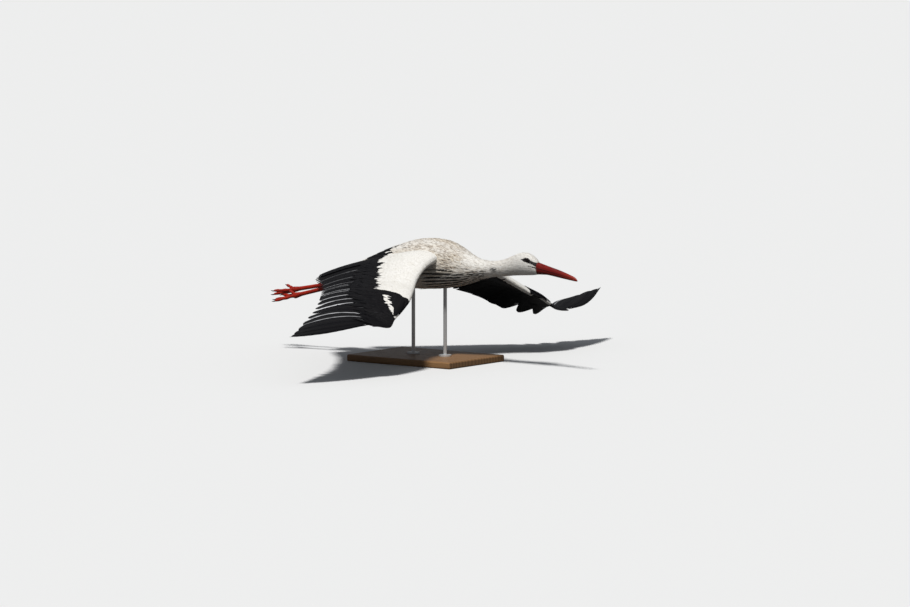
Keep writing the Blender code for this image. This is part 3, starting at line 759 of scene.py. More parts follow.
def eye_wet():
    """A dark iris round the pupil, under a wet coat."""
    n = Finish("eye_wet", Roughness=0.08, Specular_IOR_Level=0.35, Coat_Weight=0.2, Coat_Roughness=0.03)
    gaze = n.tone()[0]
    iris = n.mix(n.noise(900.0), (0.022, 0.009, 0.005), (0.010, 0.005, 0.004))
    ring = n.mix(n.ramp(gaze, 0.46, 0.52), iris, (0.010, 0.007, 0.007))
    return n.done(n.mix(n.ramp(gaze, 0.25, 0.21), ring, (0.002, 0.002, 0.002)))


def oiled_oak():
    """Wavy growth rings along the board, with dark pores."""
    n = Finish("oiled_oak", Specular_IOR_Level=0.4)
    sway = n.times(n.noise(3.0, 2.0, (0.5, 2.0, 2.0)), 0.035)
    bent = n.vector("ADD", n.object_place(), n.add("ShaderNodeCombineXYZ", {1: sway}).outputs[0])
    placed = n.vector("MULTIPLY", bent, (0.6, 14.0, 20.0))
    rings = n.add("ShaderNodeTexWave", {"Vector": placed, "Scale": 1.4, "Distortion": 2.5, "Detail": 3.0},
                  bands_direction="Y").outputs["Fac"]
    pores = n.ramp(n.noise(60.0, 3.0, (0.4, 12.0, 12.0)), 0.54, 0.66)
    light = n.mix(rings, (0.34, 0.19, 0.085), (0.22, 0.115, 0.050))
    height = n.math("SUBTRACT", n.times(rings, 0.2), pores)
    return n.done(n.mix(n.times(pores, 0.6), light, (0.10, 0.050, 0.022)), n.scaled(pores, 0.25, 0.36),
                  (height, 0.3, 0.0004))


def satin_steel():
    """Steel with fine lines up the rod."""
    n = Finish("satin_steel", Metallic=0.40)
    lines = n.noise(60.0, 4.0, (12.0, 12.0, 0.15))
    return n.done(n.mix(lines, (0.58, 0.59, 0.60), (0.74, 0.75, 0.76)), n.scaled(lines, 0.22, 0.20),
                  (lines, 0.12, 0.0002))


BARBS = feather_group()
WEAR = wear_group()
FEATHER_TREE = feather_tree()
COATS = {"white": white_plumage(), "black": black_plumage()}
SKIN = bird_skin()
HORN = bill_horn()
CLAW = claw_horn()
EYE = eye_wet()
OAK = oiled_oak()
STEEL = satin_steel()


# ---------------------------------------------------------------- marks of skin and plumage
# Bare black strips on the side of the head: place along it, height and half width, all in metres.
EYE_PATCH = [(0.3120, 0.0164, 0.0006), (0.3275, 0.0155, 0.0060), (0.3345, 0.0148, 0.0074),
             (0.3430, 0.0112, 0.0052), (0.3540, 0.0062, 0.0036), (0.3680, 0.0012, 0.0042)]
GAPE = [(0.3390, -0.0030, 0.0005), (0.3520, -0.0048, 0.0010), (0.3680, -0.0092, 0.0013)]


def path_distance(x, y, path):
    """Metres from a drawn stroke given as places and half widths, negative inside it."""
    nearest = np.full(np.broadcast(x, y).shape, 1.0)
    for (x0, y0, r0), (x1, y1, r1) in zip(path, path[1:]):
        run = np.array([x1 - x0, y1 - y0])
        part = np.clip(((x - x0) * run[0] + (y - y0) * run[1]) / (run @ run), 0, 1)
        reach = np.hypot(x - x0 - part * run[0], y - y0 - part * run[1])
        nearest = np.minimum(nearest, reach - (r0 + (r1 - r0) * part))
    return nearest


def strip_distance(points, strip):
    """Metres from a strip drawn on the side of the head."""
    return path_distance(points[..., 0] - SHOULDER[0], points[..., 2] - SHOULDER[2], strip)


def bare_distance(points):
    return np.minimum(strip_distance(points, EYE_PATCH), strip_distance(points, GAPE))


def back_is_black(along, turn, reach):
    """True where the long black feathers of the shoulder lie, either side of the back's white middle."""
    away = np.abs(turn - 0.5)
    ragged = 0.010 * np.sin(61 * turn) + 0.003 * np.sin(173 * turn + 1)
    middle = 0.005 + 0.010 * smooth_step(-0.22, -0.29, along) + 0.016 * smooth_step(-0.28, -0.37, along)
    return (along < -0.224 + ragged) & (away < 0.235) & (away * girth(along) > middle + reach)


# Marks of the wing: the share of the chord that is white on top, along the arm and next to the body, and
# below; the station where the white ends; and the pale crescent round the black alula coverts, in stations
# beyond that end, shares of the chord and metres of half width. Below, the crescent is a patch between two
# stations, out to a share of the chord. The sizes of a station and of the chord there are in metres.
WHITE_CHORD = (0.365, 0.435)
# Below, the wing is white only in a narrow strip at the front; the black beyond it is painted shade, as the
# small under coverts are white in life.
UNDER_WHITE_CHORD = 0.038
WHITE_STATION = 5.82
CRESCENT = [(0.55, 0.205, 0.0056), (0.72, 0.182, 0.0066), (1.20, 0.120, 0.0052), (1.52, 0.060, 0.0080),
            (1.80, 0.002, 0.0100)]
CRESCENT_BELOW = (1.10, 2.05, 0.065)
STATION_SIZE, CHORD_SIZE = 0.045, 0.32


def wing_black_with_painted_shade(station, wrap):
    """True where the plumage of the wing is black, on its upper side or, with a negative wrap, below. Below,
    the black beyond the narrow white strip at the front is painted shade: the small under coverts are white
    in life.
    """
    beyond = station - WHITE_STATION
    white_chord = lerp(WHITE_CHORD, smooth_step(2.6, 0.2, station))
    path = [(x * STATION_SIZE, y * CHORD_SIZE, reach) for x, y, reach in CRESCENT]
    crescent = path_distance(beyond * STATION_SIZE, wrap * CHORD_SIZE, path) < 0
    above = ((beyond > 0) | (wrap > white_chord)) & ~crescent
    low, high, reach = CRESCENT_BELOW
    patch = (low < beyond) & (beyond < high) & (-wrap < reach)
    below = ((-wrap > UNDER_WHITE_CHORD) | (beyond > 0.25)) & ~patch
    return np.where(wrap >= 0, above, below)


# ---------------------------------------------------------------- skin
def coat_depth(along):
    """How far the skin lies under the outline of the plumage."""
    return (0.0060 - 0.0025 * smooth_step(0.07, 0.14, along) - 0.0019 * smooth_step(0.25, 0.29, along)
            - 0.0008 * smooth_step(0.34, 0.362, along))


def eye_centre(side):
    along, out, up = EYE_PLACE
    return SHOULDER + np.array([along, spine_side(along) + SIDES[side] * out, up])


def lid_places(points, side):
    """How far points lie from the eye's centre, as shares of the lid's opening and in metres."""
    centre = eye_centre(side)
    x, z = points[:, 0] - centre[0], points[:, 2] - centre[2]
    lean = np.radians(LID_LEAN)
    level, high = x * np.cos(lean) + z * np.sin(lean), -x * np.sin(lean) + z * np.cos(lean)
    share = np.hypot(level / LID_HALF_LENGTH, high / (LID_HALF_HEIGHT - 0.0004 * (high > 0)))
    near = (points[:, 1] - SHOULDER[1] - spine_side(EYE_PLACE[0])) * SIDES[side] > 0
    return centre, np.where(near, share, 9.0), np.hypot(x, z)


def shape_lids(points, side):
    """Draws the skin in round the eyeball, with a rolled lid, a crease over it and a brow."""
    centre, share, reach = lid_places(points, side)
    ball = np.sqrt(np.maximum(EYE_RADIUS**2 - reach**2, 0.0))
    lid = centre[1] + SIDES[side] * (ball + 0.00045 + 0.0007 * bump(1.18, 0.13, share))
    inside = centre[1] + SIDES[side] * (ball - 0.0030)
    close = 1 - smooth_step(1.25, 2.0, share)
    shaped = points.copy()
    shaped[:, 1] += (lid - shaped[:, 1]) * close
    opened = smooth_step(1.06, 0.94, share)
    shaped[:, 1] += (inside - shaped[:, 1]) * opened
    shaped[:, 1] += SIDES[side] * 0.0006 * bump(1.95, 0.22, share)
    shaped[:, 1] -= SIDES[side] * 0.0004 * bump(1.55, 0.12, share)
    return shaped


def body_skin():
    along = np.concatenate([np.linspace(-0.402, 0.240, 84), np.linspace(0.2435, 0.3668, 92)])[:, None]
    turn = np.arange(120) / 120
    outline = body_point(along, turn)
    depth = coat_depth(along) * smooth_step(-0.0010, 0.0045, bare_distance(outline)) + 0.0002
    mesh = closed_tube("body_skin", body_point(along, turn, -depth))
    with editing(mesh) as shape:
        edges = set()
        for face in shape.faces:
            middle = np.array([list(face.calc_center_median())])
            if any(lid_places(middle, side)[1][0] < 2.6 for side in SIDES):
                edges |= set(face.edges)
        bmesh.ops.subdivide_edges(shape, edges=list(edges), cuts=2, use_grid_fill=True)
        bmesh.ops.triangulate(shape, faces=[face for face in shape.faces if len(face.verts) > 4])
    points = read_points(mesh)
    for side in SIDES:
        points = shape_lids(points, side)
    move_points(mesh, points)
    bare = smooth_step(0.0019, 0.0009, bare_distance(points))
    local_x, local_z = points[:, 0] - SHOULDER[0], points[:, 2] - SHOULDER[2]
    chin = smooth_step(0.335, 0.350, local_x) * smooth_step(-0.0285, -0.0305, local_z)
    put_vectors(mesh, "tone", stack(np.maximum(bare, 0.85 * chin), np.maximum(bare, chin), 0.0))
    return mesh


def wing_skin(side):
    """The flesh of the arm and hand, up to where the quills leave it."""
    station = np.linspace(0.0, 10.2, 90)[:, None]
    reach = np.where(station < WRIST, 0.42, 0.80 * hand_chord(station))
    reach = reach * (1 - smooth_step(9.6, 10.25, station)) + 0.03
    run = np.linspace(-1, 1, 34)
    wrap = reach * np.sign(run) * np.abs(run) ** 1.6
    half = wing_middle(side, station, np.abs(wrap))[2]
    rings = wing_point(side, station, wrap, -np.minimum(0.0020, half * 0.45))
    mesh = closed_tube(f"wing_skin_{side}", rings)
    # The skin takes the same black, with the painted shade below.
    put_vectors(mesh, "tone", stack(wing_black_with_painted_shade(station, wrap), 0.0, 0.0).reshape(-1, 3))
    return mesh


def leg_line(side):
    """Rows down one leg: metres from the hip, place and radius, with the joints' knobs."""
    leg, sign = LEGS[side], SIDES[side]
    ankle = np.array([leg["ankle"][0], LEG_SIDE, leg["ankle"][1]])
    toes = np.array([leg["toes"][0], LEG_SIDE, leg["toes"][1]])
    knee_end = THIGH[-1, :3]
    rows = [(*place[:3], place[3] - cover) for place, cover in zip(THIGH, THIGH_COVER)]
    for part, radius in SHANK_SHAPE:
        rows.append((*(knee_end + (ankle - knee_end) * part), SHANK_RADIUS * radius))
    for part, radius in TARSUS_SHAPE:
        rows.append((*(ankle + (toes - ankle) * part), TARSUS_RADIUS * radius))
    rows.append((*(toes + (toes - ankle) / np.linalg.norm(toes - ankle) * 0.007), TARSUS_RADIUS * 0.9))
    rows = np.array(rows) * (1, sign, 1, 1)
    steps = np.linalg.norm(np.diff(rows[:, :3], axis=0), axis=1)
    return np.column_stack([np.concatenate([[0], np.cumsum(steps)]), rows])


def round_rings(path, radius, count, relief=None):
    """Rings square to a path. relief adds to the radius by place along and turn round the ring."""
    ahead = unit(np.gradient(path, axis=0))
    across = unit(np.cross(ahead, (0, 0, 1)))
    over = np.cross(across, ahead)
    turn = np.arange(count) / count
    reach = radius[:, None] + (relief(turn) if relief else 0.0)
    angle = 2 * np.pi * turn
    return path[:, None] + reach[..., None] * (across[:, None] * np.cos(angle)[:, None]
                                               + over[:, None] * np.sin(angle)[:, None])


def leg_skin(side):
    rows = leg_line(side)
    bare_from, ankle, total = rows[len(THIGH) - 1, 0], rows[len(THIGH) + len(SHANK_SHAPE) - 1, 0], rows[-1, 0]
    down = np.concatenate([np.linspace(0, bare_from, 30)[:-1], np.arange(bare_from, total, 0.0009)])
    values = blend(rows, down)
    knob = bump(ankle, 0.020, down)

    def scutes(turn):
        """Plates round the shank and tarsus, staggered from one side to the other."""
        plate = (down[:, None] / LEG_PLATE + 0.5 * np.round(np.abs(turn - 0.5) * 6)) % 1.0
        raised = smooth_step(0.0, 0.22, plate) * smooth_step(1.0, 0.86, plate)
        seam = 1 - 0.8 * bump(0.0, 0.12, (turn * 6 + 0.5) % 1.0 - 0.5)
        amount = smooth_step(bare_from + 0.01, bare_from + 0.03, down)
        return (0.00030 * raised * seam * (amount * (1 - 0.5 * knob))[:, None]) - 0.0002

    rings = round_rings(SHOULDER + values[:, :3], values[:, 3], LEG_RING, scutes)
    mesh = closed_tube(f"leg_skin_{side}", rings)
    red = smooth_step(bare_from - 0.012, bare_from + 0.004, down)
    put_vectors(mesh, "tone", np.repeat(stack(0.0, red, red), LEG_RING, axis=0))
    return mesh


def toe_path(start, length, turn, pitch, curl, count):
    """Points down a toe to its claw's tip, bending as it goes, and the radius at each."""
    share = np.linspace(0, 1, count)
    dip = np.radians(pitch + curl * share)
    side = np.radians(turn)
    step = stack(-np.cos(dip) * np.cos(side), np.sin(side), -np.sin(dip)) * length / (count - 1)
    path = start + np.concatenate([np.zeros((1, 3)), np.cumsum(step[:-1], axis=0)])
    radius = TOE_RADIUS * (1 - 0.30 * share) * (1 + 0.12 * np.cos(share * 6 * np.pi))
    return share, path, radius


def toes_of(side):
    """Each toe's start, length, spread, pitch and curl, as the frame has them."""
    leg, sign = LEGS[side], SIDES[side]
    toes = SHOULDER + np.array([leg["toes"][0], sign * LEG_SIDE, leg["toes"][1]])
    ankle = SHOULDER + np.array([leg["ankle"][0], sign * LEG_SIDE, leg["ankle"][1]])
    found = []
    for length, spread, dip in TOES.values():
        shift = np.array([0, sign * TOE_ROOT_SHIFT * spread / TOES["outer"][1], 0])
        found.append((toes + shift, length, sign * spread, leg["pitch"] + dip, leg["curl"]))
    length, spread, pitch, curl = HALLUX
    heel = toes - 0.002 * (toes - ankle) / np.linalg.norm(toes - ankle)
    found.append((heel, length, sign * spread, pitch, curl))
    return found


def toe_skin(name, toe):
    share, path, radius = toe_path(*toe, 90)
    keep = share < CLAW_START
    along = share[keep] * toe[1]
    rounding = np.sqrt(1 - smooth_step(CLAW_START - 0.05, CLAW_START + 0.02, share[keep]) ** 2 * 0.9)

    def scutes(turn):
        plate = (along / TOE_PLATE) % 1.0
        over = 0.5 + 0.5 * np.sin(2 * np.pi * turn)
        raised = smooth_step(0.0, 0.3, plate) * smooth_step(1.0, 0.85, plate)
        return 0.00032 * raised[:, None] * over ** 0.5 - 0.00020

    rings = round_rings(path[keep], radius[keep] * rounding, 16, scutes)
    mesh = closed_tube(name, rings)
    put_vectors(mesh, "tone", np.tile([0.0, 1.0, 1.0], (len(mesh.vertices), 1)))
    return mesh


def make_skin():
    """One skin over trunk, neck, head, wings and legs, joined without a seam."""
    limbs = bpy.data.collections.new("limbs")
    lofts = [body_skin()]
    for side in SIDES:
        meshes = [wing_skin(side), leg_skin(side)]
        meshes += [toe_skin(f"toe_{number}_{side}", toe) for number, toe in enumerate(toes_of(side))]
        for mesh in meshes:
            limbs.objects.link(bpy.data.objects.new(mesh.name, mesh))
        lofts += meshes
    near = KDTree(sum(len(mesh.vertices) for mesh in lofts))
    tones = np.concatenate([read_vectors(mesh.attributes["tone"].data, "vector") for mesh in lofts])
    for index, point in enumerate(np.concatenate([read_points(mesh) for mesh in lofts]).tolist()):
        near.insert(point, index)
    near.balance()
    body = add_piece("skin_body", lofts[0])
    join = body.modifiers.new("one_skin", "BOOLEAN")
    join.operation = "UNION"
    join.operand_type = "COLLECTION"
    join.collection = limbs
    join.solver = "EXACT"
    skin = evaluated_copy(body, "skin")
    for limb in list(limbs.objects):
        bpy.data.objects.remove(limb)
    if "tone" in skin.data.attributes:
        skin.data.attributes.remove(skin.data.attributes["tone"])
    found = [near.find(point)[1] for point in read_points(skin.data).tolist()]
    put_vectors(skin.data, "tone", tones[found])
    skin.data.materials.clear()
    skin.data.materials.append(SKIN)
    skin.data.shade_smooth()
    flesh = ["trunk", "neck", "head"]
    for side in SIDES:
        flesh += [f"{part}_{side}" for part in ("wing_arm", "wing_hand", "thigh", "shank", "tarsus", "foot")]
    settle(skin, "white_feathers", *flesh)


def make_claws():
    meshes = []
    for side in SIDES:
        for toe in toes_of(side):
            share, path, radius = toe_path(*toe, 90)
            keep = share > CLAW_START - 0.05
            part = (share[keep] - share[keep][0]) / (share[keep][-1] - share[keep][0])
            line = path[keep] - stack(0, 0, 0.0012 * np.sin(part * np.pi) - 0.0010 * part**2)
            taper = 0.66 * (1 - part) ** 0.7 + 0.05
            meshes.append(closed_tube("claw", round_rings(line, radius[keep] * taper, 12)))
    joined = bpy.data.meshes.new("claws")
    with editing(joined) as shape:
        for mesh in meshes:
            shape.from_mesh(mesh)
            bpy.data.meshes.remove(mesh)
    joined.shade_smooth()
    settle(add_piece("claws", joined, CLAW), "leg_scales")


# ---------------------------------------------------------------- head: bill and eyes
def bill_half(half):
    """Half a bill: an arched section above or below the cutting edge, hollowed by the nostril."""
    upper = half == "upper"
    along = BILL[0, 0] + (BILL[-1, 0] - BILL[0, 0]) * np.linspace(0, 1, 110)
    culmen, edge, under, half_width = np.moveaxis(blend(BILL, along), -1, 0)
    ridge = culmen if upper else under
    seat = edge + (BILL_GAP / 2 if upper else -BILL_GAP / 2)
    angle = np.linspace(0, np.pi, 41)
    arch = np.sin(angle)
    width = half_width[:, None] * (1.0 if upper else 0.955)
    up = seat[:, None] + (ridge - seat)[:, None] * arch ** 0.8
    grooved = smooth_step(0.376, 0.386, along) * smooth_step(0.47, 0.42, along)
    groove = bump(0.72, 0.10, arch) * grooved[:, None]
    slit = upper * bump(0.392, 0.0060, along)[:, None] * bump(0.72, 0.055, arch)
    lip = 0.0004 * bump(0.0, 0.10, arch) * smooth_step(0.50, 0.46, along)[:, None]
    pinch = upper * (0.00035 * groove + 0.0016 * slit - lip)
    out = width * np.cos(angle) - np.sign(np.cos(angle)) * pinch
    points = SHOULDER + stack(along[:, None], spine_side(along)[:, None] + out, up)
    mesh = closed_tube(f"bill_{half}_horn", points)
    part = (along - along[0]) / (along[-1] - along[0])
    # level runs below zero on the lower half, which the finish darkens as painted shade.
    level = arch * (1 if upper else -1)
    # pit marks the nostril's slit, painted dark as shade, and a dark line along the cutting edge.
    pit = np.maximum(np.clip(slit * 1.4, 0, 1), bump(0.0, 0.05, arch) * 0.75)
    put_vectors(mesh, "tone", stack(part[:, None], level, pit).reshape(-1, 3))
    mesh.shade_smooth()
    mesh.set_sharp_from_angle(angle=np.radians(50))
    settle(add_piece(mesh.name, mesh, HORN), "bill_horn", f"bill_{half}")


def make_eye(side):
    """A wet eyeball looking out sideways and a little forward, with the cornea's swell."""
    mesh = bpy.data.meshes.new(f"eyeball_{side}")
    with editing(mesh) as shape:
        bmesh.ops.create_uvsphere(shape, u_segments=48, v_segments=32, radius=EYE_RADIUS - 0.00005)
    points = read_points(mesh)
    away = np.arccos(np.clip(points[:, 2] / EYE_RADIUS, -1, 1))
    points *= (1 + 0.05 * bump(0.0, 0.55, away) - 0.02)[:, None]
    look = unit(np.array([0.28, SIDES[side] * 1.0, 0.04]))
    first = unit(np.cross(look, (0, 0, 1)))
    second = np.cross(look, first)
    turned = points[:, :1] * first + points[:, 1:2] * second + points[:, 2:] * look
    move_points(mesh, eye_centre(side) + turned)
    face_outwards(mesh)
    put_vectors(mesh, "tone", stack(away / (np.pi / 2), 0.0, 0.0))
    mesh.shade_smooth()
    settle(add_piece(f"eyeball_{side}", mesh, EYE), "eye", f"eye_{side}")


# ---------------------------------------------------------------- plumage of the body
FINE = vane_set("fine_vanes", rows=5, columns=2, widest=0.34, fullness=0.50, point=(1.5, 1.0), fray=0.22)
ROUND = vane_set("round_vanes", rows=7, columns=4, widest=0.55, fullness=0.40, point=(2.0, 0.55), fray=0.12)
LANCE = vane_set("lance_vanes", rows=8, columns=2, widest=0.38, fullness=0.35, point=(1.5, 0.95), fray=0.18)
SOFT = vane_set("soft_vanes", rows=8, columns=2, widest=0.48, fullness=0.42, point=(1.9, 0.80), fray=0.22)
LONG = vane_set("long_vanes", rows=12, columns=4, widest=0.60, fullness=0.50, point=(2.4, 0.60), fray=0.08)


def finish_plumage(piece, coat, *replaced):
    piece.data.shade_smooth()
    settle(piece, f"{coat}_feathers", *replaced)
    triangles = sum(len(face.vertices) - 2 for face in piece.data.polygons)
    print(f"{piece.name}: {triangles} triangles")


def body_rows(start, stop, gap, spread, turns=(0.0, 1.0)):
    """Staggered roots from start back to stop: the gap between rows and the spread across a row."""
    places, along, row = [], start, 0
    while along > stop:
        part = (start - along) / (start - stop)
        share = turns[1] - turns[0]
        count = max(int(girth(along) * share / lerp(spread, part)), 3)
        turn = turns[0] + (np.arange(count) + 0.5 * (row % 2) + 0.25) / count * share
        jitter = RANDOM.normal(0, 0.2, (2, count))
        found = stack(along + jitter[0] * lerp(gap, part), turn + jitter[1] * share / count, part)
        places.append(found)
        along -= lerp(gap, part)
        row += 1
    return np.concatenate(places)


def lay_on_body(tract, places, length, width, depth, stain, black=0.0, crown=0.0006, lift=0.0, splay=0.04):
    """Adds feathers to a tract at places (along, turn, part) of the body's chart, pointing back.

    length and width go from the first row to the last, depth is how far the roots sink into the coat,
    and crown, lift and splay arch a feather, raise its tip and turn it aside."""
    along, turn, part = places.T
    count = len(along)
    vary = 1 + RANDOM.normal(0, 0.10, count)
    long = lerp(length, part) * vary
    wide = lerp(width, part) * vary / 2 / girth(along)
    swing = RANDOM.normal(0, splay, count) * long / girth(along)
    high = RANDOM.random(count)
    tract.add(
        root=stack(along, turn, 0.0),
        along=stack(-long, swing, 0.0),
        across=stack(RANDOM.normal(0, 0.05, count) * lerp(width, part), wide, 0.0),
        rise=stack(-0.8 * depth, -0.0008 + 0.0009 * high, crown),
        twist=stack(RANDOM.normal(0, 0.0002, count), RANDOM.normal(0, 0.25, count), lift * high**3),
        tone=stack(black, np.clip(stain + RANDOM.normal(0, 0.14, count), 0, 1), RANDOM.random(count)),
    )


def body_stain(places):
    """Cream and brown wear: strong on mantle and breast, fading on neck, head and rump."""
    along, turn = places[:, 0], places[:, 1]
    up = 0.5 - 0.5 * np.cos(2 * np.pi * turn)
    mantle = smooth_step(0.14, 0.08, along) * smooth_step(-0.19, -0.10, along)
    breast = smooth_step(0.20, 0.10, along) * smooth_step(-0.16, -0.02, along) * smooth_step(0.85, 0.35, up)
    neck = 0.22 * smooth_step(0.10, 0.16, along) * smooth_step(0.32, 0.25, along)
    rust = 0.35 * bump(0.055, 0.022, along) * bump(0.36, 0.05, turn)
    return 0.05 + 0.72 * mantle * smooth_step(0.35, 0.8, up) + 0.50 * breast + neck + rust


def neck_dark_spots(places):
    """Share of black painted into the neck feathers at a few small spots on the right of the neck."""
    points = body_point(places[:, 0], places[:, 1]) - SHOULDER
    near = np.zeros(len(places))
    for along, up, reach in ((0.208, -0.0245, 0.0056), (0.195, -0.0215, 0.0046), (0.200, -0.0300, 0.0042)):
        near = np.maximum(near, bump(0, reach, np.hypot(points[:, 0] - along, points[:, 2] - up)))
    return near * (np.mod(places[:, 1], 1) < 0.5)


STRAND = 0.030


def in_strands(places):
    """Draws the plumes low on the breast together into strands, and says how far each one is drawn."""
    along, turn = places[:, 0], places[:, 1]
    parted = smooth_step(0.255, 0.215, np.abs(turn)) * smooth_step(-0.060, -0.010, along)
    moved = places.copy()
    moved[:, 1] += 0.90 * parted * (STRAND * np.round(turn / STRAND) - turn)
    return moved, parted


def strand_shadow_places():
    """Places of near-black feathers laid between the strands, as painted shadow."""
    along, line = np.meshgrid(np.arange(0.166, -0.020, -0.016), np.arange(-8, 8) + 0.5)
    along, turn = along.ravel() + RANDOM.normal(0, 0.003, along.size), STRAND * line.ravel()
    kept = RANDOM.random(len(along)) < 1.02 * smooth_step(0.250, 0.195, np.abs(turn))
    return stack(along, turn, (0.166 - along) / 0.186)[kept]


def make_body_plumage():
    form = make_form("body_form", body_point, np.linspace(-0.47, 0.375, 240), np.linspace(-0.45, 1.2, 180), 1)
    small = Tract()
    places = body_rows(0.3665, 0.258, gap=(0.0013, 0.0024), spread=(0.0013, 0.0023))
    points = body_point(places[:, 0], places[:, 1])
    long = lerp((0.0052, 0.0140), places[:, 2])
    middles, tips = (body_point(places[:, 0] - part * long, places[:, 1]) for part in (0.5, 1.0))
    places = places[(bare_distance(points) > 0.0003) & (bare_distance(middles) > 0.0001)
                    & (bare_distance(tips) > -0.0005)]
    lay_on_body(small, places, length=(0.0062, 0.0185), width=(0.0017, 0.0034), depth=0.0013,
                stain=body_stain(places), crown=0.00010, splay=0.09)
    small.lay("head_feathers", form, FINE, 0.00016)

    neck = Tract()
    places = body_rows(0.266, 0.112, gap=(0.0032, 0.0056), spread=(0.0032, 0.0054))
    lay_on_body(neck, places, length=(0.0160, 0.0400), width=(0.0044, 0.0078), depth=0.0030,
                stain=body_stain(places), black=neck_dark_spots(places - (0.010, 0, 0)), crown=0.0003, lift=0.0010)
    neck.lay("neck_feathers", form, LANCE, 0.00022)

    ruff = Tract()
    places = body_rows(0.150, -0.070, gap=(0.0075, 0.0090), spread=(0.0060, 0.0076), turns=(-0.34, 0.34))
    places, parted = in_strands(places)
    narrowed = [size * (1 - 0.34 * parted) for size in (0.0072, 0.0105)]
    loose = 1 - 0.7 * parted
    lay_on_body(ruff, places, length=(0.050, 0.076), width=narrowed, depth=0.0050, stain=body_stain(places),
                crown=0.0009, lift=0.0040 * loose, splay=0.08 * loose)
    # Near-black feathers between the strands are painted shadow.
    lay_on_body(ruff, strand_shadow_places(), length=(0.056, 0.070), width=(0.0040, 0.0062), depth=0.0016, stain=1.0,
                black=0.96, splay=0.01)
    ruff.lay("breast_plumes", form, LANCE, 0.0003)

    mantle = Tract()
    places = body_rows(0.128, -0.405, gap=(0.0066, 0.0110), spread=(0.0068, 0.0115), turns=(0.24, 0.76))
    places = places[~back_is_black(places[:, 0] - 0.036, places[:, 1], 0.003)]
    lay_on_body(mantle, places, length=(0.034, 0.048), width=(0.0098, 0.0165), depth=0.0052,
                stain=body_stain(places), crown=0.0006, lift=0.0015, splay=0.09)
    mantle.lay("mantle_feathers", form, SOFT, 0.0003)

    belly = Tract()
    places = body_rows(-0.040, -0.400, gap=(0.0110, 0.0135), spread=(0.0110, 0.0140), turns=(-0.28, 0.28))
    lay_on_body(belly, places, length=(0.050, 0.056), width=(0.0160, 0.0190), depth=0.0055,
                stain=body_stain(places), crown=0.0009, lift=0.0015)
    belly.lay("belly_feathers", form, SOFT, 0.00035)

    scapulars = Tract()
    places = body_rows(-0.150, -0.320, gap=(0.0150, 0.0190), spread=(0.0170, 0.0200), turns=(0.25, 0.75))
    places = places[back_is_black(places[:, 0] - 0.055, places[:, 1], 0.011)]
    lay_on_body(scapulars, places, length=(0.075, 0.115), width=(0.0260, 0.0300), depth=0.0046, stain=0.0,
                black=1.0, crown=0.0010, lift=0.001)
    scapulars.lay("scapulars", form, LONG, 0.0005, "black")
    bpy.data.objects.remove(form)


def make_thigh_plumage(side):
    form = make_form(f"thigh_form_{side}", lambda u, v: thigh_point(side, u, v), np.linspace(-0.1, 1.12, 50),
                     np.linspace(-0.2, 1.2, 60), -1)
    tract = Tract()
    length = 0.21
    for row, part in enumerate(np.arange(0.02, 0.93, 0.045)):
        radius = blend(np.column_stack([np.linspace(0, 1, len(THIGH)), THIGH]), part)[3]
        count = max(int(2 * np.pi * radius / 0.0095), 7)
        turn = (np.arange(count) + 0.5 * (row % 2)) / count + RANDOM.normal(0, 0.01, count)
        long = min(0.034, (1.10 - part) * length) / length
        tract.add(
            root=stack(part + RANDOM.normal(0, 0.006, count), turn, 0.0),
            along=stack(long, RANDOM.normal(0, 0.01, count), 0.0),
            across=stack(0.0, 0.0075 / (2 * np.pi * max(radius, 0.009)), 0.0),
            rise=stack(-0.0032, -0.0004, 0.0007),
            twist=stack(0, RANDOM.normal(0, 0.2, count), 0.0008),
            tone=stack(0.0, np.clip(RANDOM.normal(0.2, 0.1, count), 0, 1), RANDOM.random(count)),
        )
    tract.lay(f"thigh_feathers_{side}", form, ROUND, 0.00035)
    bpy.data.objects.remove(form)


# ---------------------------------------------------------------- plumage of the wings
def covert_zone(station):
    """Share of the chord under the small coverts, which narrows over the hand."""
    return 1 - 0.87 * smooth_step(5.6, 10.0, station)


def wing_row(side, share, low, high, spread, shift=0.0):
    """Stations an even distance apart along a row of coverts."""
    fine = np.linspace(low, high, 200)
    sizes = span_length(side, fine, share * covert_zone(fine))
    lengths = np.concatenate([[0], np.cumsum(sizes[1:] * np.diff(fine))])
    count = max(int(lengths[-1] / spread), 2)
    return np.interp((np.arange(count) + 0.5 + shift) / count * lengths[-1], lengths, fine)


def lay_on_wing(tracts, side, share, spread, length, width, rise, below=False, shift=0.0, tilt=0.0, lift=0.0,
                vary=0.08, stray=0.0, ends=(0.0, 10.1), silver=0.0):
    """Adds one row of coverts along the wing to the white and the black tract, by the marks; below, the black
    beyond the white strip is painted shade.
    """
    face = -1.0 if below else 1.0
    station = wing_row(side, max(share, 0.0), *ends, spread, shift)
    station = station + RANDOM.normal(0, 0.10 * spread / STATION_SIZE, len(station))
    zone = covert_zone(station)
    stray = stray + 0.0003 + 0.02 * abs(share)
    wrap = face * (share * zone + RANDOM.normal(0, stray, len(station)))
    size = 0.45 + 0.55 * zone
    long = length * size * (1 + RANDOM.normal(0, vary, len(station)))
    chord = chord_length(side, station)
    drift = 0.40 * smooth_step(5.4, 8.6, station) * long
    black = wing_black_with_painted_shade(station + 0.5 * drift / STATION_SIZE, wrap + face * 0.6 * long / chord)
    values = {
        "root": stack(station, wrap, 0.0),
        "along": stack(drift / span_length(side, station, wrap), face * long / chord, 0.0),
        "across": stack(width * size / 2 / span_length(side, station, wrap), 0.0, 0.0),
        "rise": stack(rise[0], rise[1] * size, rise[2] * size),
        "twist": stack(tilt, RANDOM.normal(0, 0.12, len(station)), lift * RANDOM.random(len(station)) ** 2),
        "tone": stack(black, np.clip(0.03 + RANDOM.normal(0, 0.04, len(station)), 0, 1) + silver
                      * (RANDOM.random(len(station)) < 0.4), RANDOM.random(len(station))),
    }
    for tract, chosen in zip(tracts, (~black, black)):
        if chosen.any():
            tract.add(**{key: value[chosen] for key, value in values.items()})


